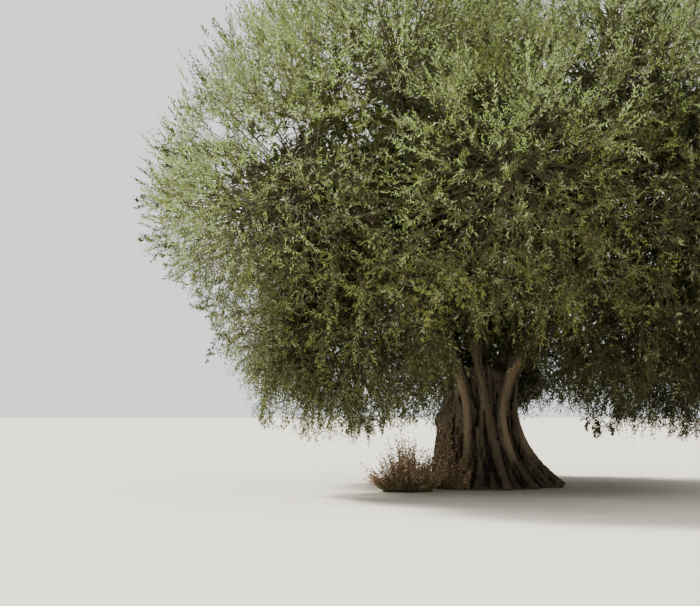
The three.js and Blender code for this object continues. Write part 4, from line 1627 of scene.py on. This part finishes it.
def makeLeaves(plan):
    tones = dealTones(sprays, tonePlan)
    total = 0
    for i, (name, look) in enumerate(leafLooks.items()):
        parts = []
        for kind, shape, pairs, opens in (
            (sprays["leading"], archedLeaf, plan["rimPairs"], plan["rimOpen"]),
            (sprays["rim"] & ~sprays["leading"], plainLeaf, plan["rimPairs"], plan["rimOpen"]),
            (sprays["outer"] & ~sprays["rim"], plainLeaf, plan["pairs"], plan["open"]),
            (~sprays["outer"], plainLeaf, plan["innerPairs"], plan["open"]),
        ):
            mask = (tones == name) & kind
            if mask.any():
                parts.append(growLeaves(pick(sprays, mask), shape, pairs, plan["width"], opens,
                                        plan["seed"] + 10 * i + len(parts)))
        total += leafPiece(name, parts, leafMaterial(name.replace("_", " "), look), massNames)
    report(f"leaves: {total} triangles")


makeLeaves(leafPlan)


# suckers at the foot: a bush of thin whips with small dried leaves, and whips that climb the trunk's left side

suckerPlan = {
    "stem": ((-0.50, -0.47, 0.13), (-1.28, -1.10, 0.05)),
    "stemRadius": (0.03, 0.01),
    "bush": {
        "count": 250, "middle": (-1.14, -1.02), "shape": (1.25, 0.9), "spread": (0.23, 0.40),  # at the foot and top
        "height": (0.30, 0.66), "lowest": 0.12, "highest": 0.72, "clumps": (4.5, 9.0), "unrest": 0.08,
    },
    "climbing": {
        "count": 44, "from": (-0.84, -0.58), "to": (-0.40, -0.80), "height": (0.30, 1.10), "inwards": 0.86,
        "footUnrest": 0.04, "unrest": 0.05,
    },
    "ground": 0.01,
    "bend": 0.04,
    "whipRadius": 0.005,
    "pairs": 11,
    "leafLength": 0.046,
    "leafWidth": 0.40,
    "leafOpen": (65, 45),
    "green": 0.55,  # share of the bush's whips with green leaves low down
    "rosy": 0.6,
    "seed": 8,
}


def makeWhips(plan):
    rng = np.random.default_rng(plan["seed"])
    bush, climbing = plan["bush"], plan["climbing"]
    n, m = bush["count"], climbing["count"]
    angle, far = rng.uniform(0, 2 * math.pi, n), np.sqrt(rng.uniform(0, 1, n))
    circle = np.column_stack([np.cos(angle) * bush["shape"][0], np.sin(angle) * bush["shape"][1]]) * far[:, None]
    foot, top = (np.array(bush["middle"]) + circle * spread for spread in bush["spread"])
    foot = np.column_stack([foot, np.full(n, plan["ground"])])
    clump = 1 + 1.1 * noiseField(foot, *bush["clumps"])  # some clumps stand higher
    height = np.clip(rng.uniform(*bush["height"], n) * (1 - 0.3 * far**2) * clump, bush["lowest"], bush["highest"])
    top = np.column_stack([top + rng.normal(0, bush["unrest"], (n, 2)), height])
    along = rng.uniform(0, 1, m)[:, None]
    foot2 = np.array(climbing["from"]) * (1 - along) + np.array(climbing["to"]) * along
    foot2 = foot2 + rng.normal(0, climbing["footUnrest"], (m, 2))
    top2 = foot2 * climbing["inwards"] + rng.normal(0, climbing["unrest"], (m, 2))
    height2 = rng.uniform(*climbing["height"], m) * (1.1 - 0.65 * along[:, 0])
    foot = np.concatenate([foot, np.column_stack([foot2, np.full(m, plan["ground"])])])
    top = np.concatenate([top, np.column_stack([top2, height2])])
    bend = foot * 0.45 + top * 0.55 + rng.normal(0, plan["bend"], top.shape)
    lines = np.stack([curvePoint(foot, bend, top, t) for t in np.linspace(0, 1, 4)], axis=1)
    span = np.linalg.norm(top - foot, axis=1)
    whips = {"root": foot, "way": unit(top - foot), "length": span, "leaf": np.full(len(span), plan["leafLength"])}
    return lines, whips


def makeSuckers(plan):
    lines, whips = makeWhips(plan)
    rng = np.random.default_rng(plan["seed"] + 1)
    n = len(whips["length"])
    halves = {  # green leaves low down, dried ones above
        "low": dict(whips, length=whips["length"] * 0.45),
        "high": dict(whips, root=whips["root"] + whips["way"] * (whips["length"] * 0.3)[:, None],
                     length=whips["length"] * 0.7),
    }
    green = (rng.uniform(0, 1, n) < plan["green"]) & (np.arange(n) < plan["bush"]["count"])
    rosy = rng.uniform(0, 1, n) < plan["rosy"]
    deals = {
        "sucker_green": [("low", green)],
        "dried_rosy": [("high", rosy)],
        "dried_brown": [("low", ~green), ("high", ~rosy)],
    }
    for i, (name, share) in enumerate(deals.items()):
        parts = [growLeaves(pick(halves[half], mask), plainLeaf, plan["pairs"], plan["leafWidth"], plan["leafOpen"],
                            plan["seed"] + 20 + 5 * i + k) for k, (half, mask) in enumerate(share)]
        leafPiece(name, parts, leafMaterial(name.replace("_", " "), driedLooks[name]), ["basal_shoots"])
    return lines


whipLines = makeSuckers(suckerPlan)
report("suckers made")


# twigs: shoots, sprays and whips as three-sided spikes

def twigPiece(name, parts, nodes):
    piece = meshFromArrays(name, *joinParts(parts), twigBark)
    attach(piece, "root")
    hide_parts(*nodes)
    report(f"{name}: {len(piece.data.polygons)} triangles")


def taper(count, steps, root, tip):
    return np.tile(np.linspace(root, tip, steps), (count, 1))


def taperedShoots(shoots, steps, root, tip):
    lines = np.stack([curvePoint(*shoots, t) for t in np.linspace(0, 1, steps)], axis=1)
    return spikes(lines, taper(len(lines), steps, root, tip))


def makeTwigs():
    seen = pick(sprays, sprays["outer"])
    sprayLines = np.stack([seen["root"], seen["root"] + seen["way"] * seen["length"][:, None]], axis=1)
    stem = np.linspace(*suckerPlan["stem"], 6)[None]
    twigPiece("twigs", [
        taperedShoots(mainShoots, shootPlan["steps"], shootPlan["rootRadius"], shootPlan["tipRadius"]),
        taperedShoots(sideShoots, 3, *sidePlan["radius"]),
        spikes(whipLines, taper(len(whipLines), 4, suckerPlan["whipRadius"], 0)),
        spikes(stem, taper(1, 6, *suckerPlan["stemRadius"])),
    ], ["basal_shoots", *massNames])
    twigPiece("fine_twigs", [spikes(sprayLines, taper(len(sprayLines), 2, sprayPlan["rootRadius"], 0))], massNames)


makeTwigs()
